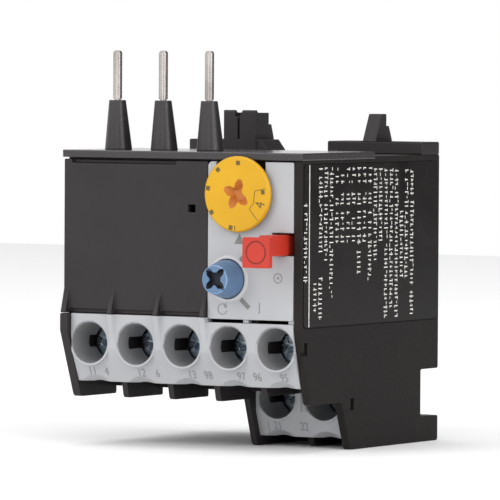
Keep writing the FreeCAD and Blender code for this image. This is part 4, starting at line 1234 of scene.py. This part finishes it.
@dataclass(frozen=True)
class NumberedRow:
    """Numbers printed on the sloping face below one row of funnels.

    Args:
        name: Start of the pieces' names.
        level: Height of the numbers, in mm.
        front: Depth of the upright face above the slope, in mm.
        knee: Height where the slope starts, in mm.
        slope: Set-back per height below that.
        marks: Each mark and its place across, in mm.
    """

    name: str
    level: float
    front: float
    knee: float
    slope: float
    marks: tuple[tuple[str, float], ...]

    def build(self, layout: Layout, height: float) -> list[bpy.types.Object]:
        """Print the row's marks, a hair in front of the slope.

        Args:
            layout: The relay's axes.
            height: Height of the digits, in mm.

        Returns:
            One piece for each mark.
        """
        hair = 0.03
        depth = self.front + self.slope * (self.knee - self.level) - hair
        return [numeral(f"{self.name}_{step}", text, layout.point(x, depth, self.level),
                        height * MM, Finish.PALE_INK, math.atan(self.slope))
                for step, (text, x) in enumerate(self.marks, 1)]


@dataclass
class Shrouds(SubAssembly):
    """Light terminal shrouds with their numbered places."""

    soft_edge: float = 0.12
    number_height: float = 1.5
    funnel_reach: float = 3.5
    funnel_facing: float = -0.7
    rows: tuple[NumberedRow, ...] = (
        NumberedRow("terminal_number_front", -4.75, 0.0, -0.8, 0.445, (
            ("11", -17.9), ("4", -15.2), ("12", -8.5), ("6", -5.4), ("13", 1.15), ("98", 4.2), ("97", 10.4),
            ("96", 13.4), ("95", 18.4))),
        NumberedRow("terminal_number_lower", -13.5, 15.6, -11.0, 0.35, (
            ("|", 6.9), ("21", 8.7), ("22", 13.7))))

    def build(self) -> list[bpy.types.Object]:
        """Finish both shrouds and number the terminals of both rows.

        Returns:
            The shrouds and their numbers.
        """
        shrouds = []
        for row in ("front", "lower"):
            shroud = polish(f"terminal_shroud_{row}", Finish.GREY_POLYCARBONATE, self.soft_edge)
            self.paint_funnel_shade(shroud, screw_axes(f"terminal_screws_{row}"))
            shrouds.append(shroud)
        numbers = [piece for row in self.rows for piece in row.build(self.layout, self.number_height)]
        for piece in numbers:
            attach(piece, "case")
        return shrouds + numbers

    def paint_funnel_shade(self, shroud: bpy.types.Object, axes: Sequence[Vector]) -> None:
        """Coat the inside of a shroud's funnels with a darker grey that paints the shade in them.

        Args:
            shroud: The shroud.
            axes: A point on each funnel's axis, in metres.
        """
        def lines_funnel(place: Vector, normal: Vector) -> bool:
            """Say whether a face near an axis looks towards it.

            Args:
                place: The face's centre.
                normal: The face's normal.

            Returns:
                Whether it does.
            """
            arms = [Vector((place.x - axis.x, 0, place.z - axis.z)) for axis in axes]
            return any(arm.length < self.funnel_reach * MM
                       and arm.normalized().dot(normal) < self.funnel_facing for arm in arms)

        recoat(shroud, Finish.GREY_FUNNEL, lines_funnel)


@dataclass
class Fasteners(SubAssembly):
    """Terminal screws and clamp plates of both rows."""

    head_radius: float = 3.0
    head_thickness: float = 2.0
    head_crown: tuple[Point, ...] = ((0.78, 0.03), (0.9, 0.14), (0.97, 0.36), (1.0, 0.7))
    head_chamfer: float = 0.1
    shank_radius: float = 1.45
    shank_length: float = 4.6
    shank_chamfer: float = 0.3
    slot_width: float = 0.8
    slot_depth: float = 0.8
    slot_margin: Point = (0.2, 1.0)
    cross_mouth: Point = (1.9, 0.5)
    cross_floor: Point = (0.8, 0.35)
    cross_depth: float = 1.3
    nick_mouth: Point = (2.55, 0.16)
    nick_floor: Point = (0.8, 0.1)
    nick_depth: float = 0.4
    largest_turn: float = 80.0
    plate_edge: float = 0.08

    def build(self) -> list[bpy.types.Object]:
        """Lay the screws of both rows and finish the clamp plates.

        Returns:
            Both rows of screws and both rows of plates.
        """
        tree = RowTree()
        screw = self.screw()
        pieces = []
        for node, seed in (("terminal_screws_front", 3), ("terminal_screws_lower", 11)):
            axes = screw_axes(node)
            screws = tree.grow(node + "_detailed", {
                "Piece": screw, "Count": len(axes), "First": axes[0],
                "Step": Vector((TERMINAL_PITCH * MM, 0, 0)), "Turn": math.radians(self.largest_turn),
                "Seed": seed, "Finish": Finish.BLUE_ZINC.material()})
            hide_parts(node)
            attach(screws, "case")
            pieces.append(screws)
        bpy.data.objects.remove(screw)
        for row in ("front", "lower"):
            pieces.append(polish(f"clamp_plates_{row}", Finish.PLATE_ZINC, self.plate_edge))
        return pieces

    def screw(self) -> bpy.types.Object:
        """Make one screw about the origin: flat-domed head with a slot and a cross, then its shank.

        Returns:
            The screw.
        """
        head, seat, shank = self.head_radius, self.head_thickness, self.shank_radius
        end = seat + self.shank_length
        crown = [(head * share, depth) for share, depth in self.head_crown]
        screw = rod([(0, 0), *crown, (head, seat - self.head_chamfer), (head - self.head_chamfer, seat),
                     (shank, seat), (shank, end - self.shank_chamfer), (shank - self.shank_chamfer, end),
                     (0, end)], Vector())
        coat(screw, Finish.BLUE_ZINC)
        carve(screw, self.slot())
        for angle in (0, 90, 180, 270):
            carve(screw, wedge(Vector(), angle, self.cross_mouth, self.cross_floor, self.cross_depth))
            carve(screw, wedge(Vector(), angle + 45, self.nick_mouth, self.nick_floor, self.nick_depth))
        return screw

    def slot(self) -> bpy.types.Object:
        """Make the cutter of the slot across the head.

        Returns:
            The cutter, which stands past the head on three sides.
        """
        past, above = self.slot_margin
        form = bmesh.new()
        corners = [Vector((x * (self.head_radius + past), -above, z * self.slot_width / 2)) * MM
                   for x, z in ((-1, -1), (1, -1), (1, 1), (-1, 1))]
        extrude_outline(form, corners, Vector((0, (above + self.slot_depth) * MM, 0)))
        return mesh_piece("screw_slot", form)


@dataclass
class Dial(SubAssembly):
    """Yellow current dial with a tapered cross recess and brown setting marks."""

    soft_edge: float = 0.1
    hub: Point = (2.6, 1.3)
    recess_angles: tuple[float, ...] = (74.0, 160.0, 242.0, 320.0)
    recess_mouth: Point = (2.5, 0.78)
    recess_floor: Point = (1.15, 0.5)
    recess_depth: float = 1.25
    shaded_depths: Point = (0.04, 1.5)
    shaded_radius: float = 2.7
    mark_radius: float = 5.25
    mark_shift: Point = (-0.2, -0.2)
    mark_size: float = 0.72
    mark_angles: tuple[float, ...] = (85.0, 129.0, 168.0, 212.0, 260.5)
    tick_angle: float = 269.0
    tick_width: float = 0.18
    line_width: float = 0.11
    window: tuple[Point, ...] = ((16.5, 25.8), (14.5, 25.35), (14.25, 23.3), (13.5, 22.5), (15.0, 20.65))
    square: tuple[Point, Point] = ((15.66, 25.17), (16.34, 25.23))
    digit_place: Point = (15.55, 23.15)
    digit_height: float = 1.9
    digit_roll: float = 80.0

    def build(self) -> list[bpy.types.Object]:
        """Finish the dial and print its face.

        Returns:
            The dial and its marks.
        """
        axis = self.layout.front("current_dial")

        def recess(piece: bpy.types.Object) -> None:
            """Fill the narrow recess and cut the tapered one.

            Args:
                piece: The dial before its edges are softened.
            """
            radius, depth = self.hub
            carve(piece, rod([(0, 0), (radius, 0), (radius, depth), (0, depth)], axis), "UNION")
            for angle in self.recess_angles:
                carve(piece, wedge(axis, angle, self.recess_mouth, self.recess_floor, self.recess_depth))

        dial = polish("current_dial", Finish.YELLOW_ACETAL, self.soft_edge, reshape=recess)
        # The dial's recess takes a darker brown that paints the shade in it.
        recoat_round(dial, Finish.BROWN_RECESS, axis, self.shaded_depths, (0.0, self.shaded_radius))
        middle = (axis - self.layout.origin) / MM
        marks = printed("dial_setting_marks", self.layout, middle.y, self.outlines(middle), Finish.BROWN_INK)
        x, z = self.digit_place
        digit = numeral("dial_digit", "4", self.layout.point(x, middle.y - PRINT_HEIGHT, z),
                        self.digit_height * MM, Finish.BROWN_INK, roll=math.radians(self.digit_roll))
        for piece in (marks, digit):
            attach(piece, "dial")
        return [dial, marks, digit]

    def outlines(self, middle: Vector) -> list[list[Point]]:
        """Outline the setting marks, the tick and the framed part of the scale.

        Args:
            middle: Middle of the dial's face, in mm.

        Returns:
            The corners of each mark.
        """
        centre = (middle.x + self.mark_shift[0], middle.z + self.mark_shift[1])
        half = self.mark_size / 2
        marks = [(angle, self.mark_size) for angle in self.mark_angles] + [(self.tick_angle, self.tick_width)]
        radial = [bar(polar(centre, self.mark_radius - half, angle),
                      polar(centre, self.mark_radius + half, angle), width) for angle, width in marks]
        lines = [bar(a, b, self.line_width) for a, b in zip(self.window, self.window[1:])]
        return [*radial, bar(*self.square, self.mark_size), *lines]


@dataclass
class Knob(SubAssembly):
    """Blue reset knob with a cross recess and a pointer groove, with painted shade in the recess and a
    painted highlight on the front rim.
    """

    soft_edge: float = 0.12
    cross_mouth: Point = (2.2, 0.52)
    cross_floor: Point = (1.75, 0.46)
    cross_shift: Point = (0.1, 0.12)
    cross_depth: float = 1.25
    core_radius: float = 1.05
    core_start: float = -0.5
    pointer_angle: float = -45.0
    pointer_mouth: Point = (3.1, 0.22)
    pointer_floor: Point = (1.9, 0.16)
    pointer_depth: float = 0.7
    shaded_depths: Point = (0.06, 1.5)
    shaded_radius: float = 1.9
    rim_depths: Point = (-1.0, 0.17)
    rim_radii: Point = (2.12, 2.42)

    def build(self) -> list[bpy.types.Object]:
        """Finish the knob.

        Returns:
            The knob, in a list as the other controls.
        """
        axis = self.layout.front("reset_knob")

        def cross(piece: bpy.types.Object) -> None:
            """Widen the cross recess and its pointer.

            Args:
                piece: The knob before its edges are softened.
            """
            middle = axis + Vector((self.cross_shift[0], 0, self.cross_shift[1])) * MM
            for angle in (45, 135, 225, 315):
                carve(piece, wedge(middle, angle, self.cross_mouth, self.cross_floor, self.cross_depth))
            core, start, depth = self.core_radius, self.core_start, self.cross_depth
            carve(piece, rod([(0, start), (core, start), (core, depth), (0, depth)], middle))
            carve(piece, wedge(axis, self.pointer_angle, self.pointer_mouth, self.pointer_floor,
                               self.pointer_depth))

        knob = polish("reset_knob", Finish.BLUE_ACETAL, self.soft_edge, reshape=cross)
        # The cross recess takes a near-black blue that paints the shade in it.
        recoat_round(knob, Finish.DARK_RECESS, axis, self.shaded_depths, (0.0, self.shaded_radius))
        # The front rim takes a paler blue that paints its highlight.
        recoat_round(knob, Finish.BLUE_RIM, axis, self.rim_depths, self.rim_radii)
        return [knob]


@dataclass
class Button(SubAssembly):
    """Red stop button with a shallow, rounded ring on its face."""

    soft_edge: float = 0.12
    head: Point = (4.95, 4.9)
    filling: Point = (2.1, 0.4)
    ring_radii: Point = (1.58, 1.95)
    ring_depth: float = 0.1
    shaded_depths: Point = (0.02, 0.13)
    shaded_radius: float = 2.05

    def build(self) -> list[bpy.types.Object]:
        """Finish the button.

        Returns:
            The button, in a list as the other controls.
        """
        low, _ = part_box("stop_button")
        axis = Vector((low.x + self.head[0] * MM / 2, low.y, low.z + self.head[1] * MM / 2))

        def groove(piece: bpy.types.Object) -> None:
            """Fill the narrow groove and cut the wide, shallow one, whose walls lean outwards.

            Args:
                piece: The button before its edges are softened.
            """
            radius, filled = self.filling
            carve(piece, rod([(0, 0), (radius, 0), (radius, filled), (0, filled)], axis), "UNION")
            (inner, outer), depth = self.ring_radii, self.ring_depth
            lean, spread, above = 0.08, 0.02, -0.1
            carve(piece, rod([(inner + lean, depth), (inner - spread, above), (outer + spread, above),
                              (outer - lean, depth), (inner + lean, depth)], axis))

        button = polish("stop_button", Finish.RED_ACETAL, self.soft_edge, reshape=groove)
        # The groove takes a darker red that paints the shade in it.
        recoat_round(button, Finish.RED_GROOVE, axis, self.shaded_depths, (0.0, self.shaded_radius))
        return [button]


@dataclass
class PhasePath(SubAssembly):
    """Pins, sleeves, terminals, bimetal strips and heaters of the three poles."""

    soft_edge: float = 0.08

    def build(self) -> list[bpy.types.Object]:
        """Dress the current path of each pole.

        Returns:
            The pieces of all three poles and the auxiliary terminals.
        """
        pieces = []
        for number in (1, 2, 3):
            pieces.append(polish(f"pin_sleeve_{number}", Finish.SLEEVE_POLYAMIDE, self.soft_edge))
            pieces += dress(Finish.TINNED_COPPER, f"phase_pin_{number}", f"phase_terminal_{number}")
            pieces += dress(Finish.BIMETAL, f"bimetal_{number}")
            pieces += dress(Finish.HEATER_BAND, f"heater_winding_{number}")
        return pieces + dress(Finish.TINNED_COPPER, "auxiliary_terminals")


@dataclass
class TripMechanism(SubAssembly):
    """Slides, levers, contacts and springs behind the operator panel."""

    spring_turns: int = 5
    steps_per_turn: int = 24
    wire: float = 0.25

    def build(self) -> list[bpy.types.Object]:
        """Dress the mechanism and wind its springs.

        Returns:
            The mechanism's pieces.
        """
        pieces = dress(Finish.NATURAL_ACETAL, "inner_plate", "trip_slide", "differential_slide",
                       "differential_lever", "trip_lever", "contact_rocker", "dial_cam",
                       "adjusting_lever", "reset_plunger")
        pieces += dress(Finish.BIMETAL, "compensating_strip")
        pieces += dress(Finish.BRASS, "moving_contact", "nc_fixed_contacts", "no_fixed_contacts")
        pieces += dress(Finish.SPRING_STEEL, "pivot_pins")
        pieces.append(self.spring("reset_spring", "reset_press"))
        pieces.append(self.spring("button_spring", "stop_press"))
        return pieces

    def spring(self, node: str, joint: str) -> bpy.types.Object:
        """Wind a round-wire spring in the place of a CAD node.

        Args:
            node: The CAD node of the spring.
            joint: Not used.

        Returns:
            The spring, riding on the CAD node's body.
        """
        low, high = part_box(node)
        centre = (low + high) / 2
        radius = (high.x - low.x) / 2 - self.wire * MM / 2
        length = high.y - low.y - self.wire * MM
        steps = self.spring_turns * self.steps_per_turn
        curve = bpy.data.curves.new(node, "CURVE")
        curve.dimensions = "3D"
        curve.bevel_depth = self.wire * MM / 2
        curve.bevel_resolution = 3
        curve.use_fill_caps = True
        line = curve.splines.new("POLY")
        line.points.add(steps)
        for step in range(steps + 1):
            angle = math.tau * step / self.steps_per_turn
            place = centre + Vector((radius * math.cos(angle), length * (step / steps - 0.5),
                                     radius * math.sin(angle)))
            line.points[step].co = (*place, 1.0)
        mesh = meshed(curve)
        smooth(mesh)
        piece = stand(node + "_wound", mesh)
        coat(piece, Finish.SPRING_STEEL)
        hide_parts(node)
        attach(piece, FRAME["nodes"][node]["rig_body"])
        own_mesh(piece)
        return piece


@dataclass
class Studio:
    """Pale floor, soft light and the camera."""

    layout: Layout
    azimuth: float = 30.573
    elevation: float = 2.003
    roll: float = 0.336
    distance: float = 939.0
    lens: float = 420.8
    target: tuple[float, float, float] = (12.865, 0.033, 15.842)
    floor_size: float = 1.6
    floor_thickness: float = 0.01
    tent_strength: float = 0.95
    dark_walls: tuple[tuple[float, float, float, float], ...] = (
        (33.0, 0.90, 0.985, 0.1), (145.0, 0.35, 0.85, 0.08))
    lamps: tuple[tuple[str, tuple[float, float, float], float, float], ...] = (
        ("key_light", (-0.5, -0.85, 0.55), 0.6, 4.0),
        ("fill_light", (0.75, -0.75, 0.5), 0.7, 2.0),
        ("side_light", (1.0, -0.2, 0.4), 0.7, 4.5),
        ("low_light", (0.35, -1.0, 0.06), 0.5, 1.25),
        ("top_light", (0.0, 0.15, 1.0), 0.8, 3.0))

    def build(self) -> None:
        """Set the floor, the surroundings, the lights and the camera."""
        self.floor()
        self.world()
        for name, place, size, power in self.lamps:
            self.lamp(name, place, size, power)
        self.camera()

    def floor(self) -> None:
        """Lay a pale floor under the lowest edge of the relay."""
        low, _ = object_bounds()
        form = bmesh.new()
        half = self.floor_size / 2
        corners = [Vector((x * half, y * half, low.z)) for x, y in ((-1, -1), (1, -1), (1, 1), (-1, 1))]
        extrude_outline(form, corners, Vector((0, 0, -self.floor_thickness)))
        floor = mesh_piece("studio_floor", form, Finish.FLOOR_PAPER)
        floor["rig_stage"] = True

    def world(self) -> None:
        """Hang white surroundings with a dark strip behind the camera and a dark wall at the back right."""
        world = bpy.data.worlds.new("studio_tent")
        bpy.context.scene.world = world
        world.use_nodes = True
        tree = world.node_tree
        strength = self.tent_strength
        for azimuth, start, end, share in self.dark_walls:
            strength = self.shade(tree, strength, math.radians(azimuth), (start, end), share)
        seen = add_node(tree, "ShaderNodeLightPath").outputs["Is Camera Ray"]
        mixed = add_node(tree, "ShaderNodeMix", {0: seen, 2: strength, 3: 1.0}, data_type="FLOAT")
        connect(tree, tree.nodes["Background"], {"Color": (1.0, 1.0, 1.0, 1.0), "Strength": mixed.outputs[0]})
        bpy.context.scene.view_settings.view_transform = "Standard"

    @staticmethod
    def shade(tree: bpy.types.NodeTree, strength: float | bpy.types.NodeSocket, azimuth: float,
              reach: tuple[float, float], share: float) -> bpy.types.NodeSocket:
        """Dim the surroundings round one direction.

        Args:
            tree: The world's node tree.
            strength: Strength before dimming, a value or a socket.
            azimuth: Direction of the dark wall's middle, in radians from the front to the right.
            reach: Cosines of the angles from that direction where dimming starts and is full.
            share: What is left of the strength in the middle.

        Returns:
            The dimmed strength.
        """
        way = add_node(tree, "ShaderNodeTexCoord").outputs["Generated"]
        rise = 0.05
        middle = Vector((math.sin(azimuth), -math.cos(azimuth), rise)).normalized()
        facing = add_node(tree, "ShaderNodeVectorMath", {0: way, 1: middle}, operation="DOT_PRODUCT")
        left = add_node(tree, "ShaderNodeMapRange", {
            "Value": facing.outputs["Value"], "From Min": reach[0], "From Max": reach[1],
            "To Min": 1.0, "To Max": share}, interpolation_type="SMOOTHSTEP")
        return add_node(tree, "ShaderNodeMath", {
            0: left.outputs[0], 1: strength}, operation="MULTIPLY").outputs[0]

    def lamp(self, name: str, place: tuple[float, float, float], size: float, power: float) -> None:
        """Hang a square soft light that faces the relay.

        Args:
            name: The light's name.
            place: Where it hangs, in metres from the relay's middle.
            size: Side of its face, in metres.
            power: Its power in watts.
        """
        low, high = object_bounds()
        middle = (low + high) / 2
        light = bpy.data.lights.new(name, "AREA")
        light.size = size
        light.energy = power
        lamp = stand(name, light)
        lamp.location = middle + Vector(place)
        lamp.rotation_mode = "QUATERNION"
        lamp.rotation_quaternion = (-Vector(place)).to_track_quat("-Z", "Y")

    def camera(self) -> None:
        """Aim a long lens, at eye level and a third of the way round to the right side."""
        turn, rise, roll = (math.radians(angle) for angle in (self.azimuth, self.elevation, self.roll))
        back = Vector((math.sin(turn) * math.cos(rise), -math.cos(turn) * math.cos(rise), math.sin(rise)))
        level = Vector((math.cos(turn), math.sin(turn), 0.0))
        upright = back.cross(level)
        right = level * math.cos(roll) + upright * math.sin(roll)
        up = back.cross(right)
        data = bpy.data.cameras.new("camera")
        data.lens = self.lens
        data.sensor_width = 36.0
        data.clip_start = 0.05
        data.clip_end = 20.0
        camera = stand("camera", data)
        camera.location = self.layout.point(*self.target) + back * self.distance * MM
        camera.rotation_mode = "QUATERNION"
        camera.rotation_quaternion = Matrix((right, up, back)).transposed().to_quaternion()
        bpy.context.scene.camera = camera


def main() -> None:
    """Load the frame, build every sub-assembly and light the scene."""
    logging.basicConfig(level=logging.INFO, format="%(name)s: %(message)s")
    FRAME.update(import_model())
    layout = Layout.from_frame()
    for assembly in (Casing, Panel, Shrouds, Fasteners, Dial, Knob, Button, PhasePath, TripMechanism):
        for piece in assembly(layout).build():
            LOG.info("%s: %s, %d faces", assembly.__name__, piece.name, len(piece.data.polygons))
    Studio(layout).build()


if __name__ == "__main__":
    main()
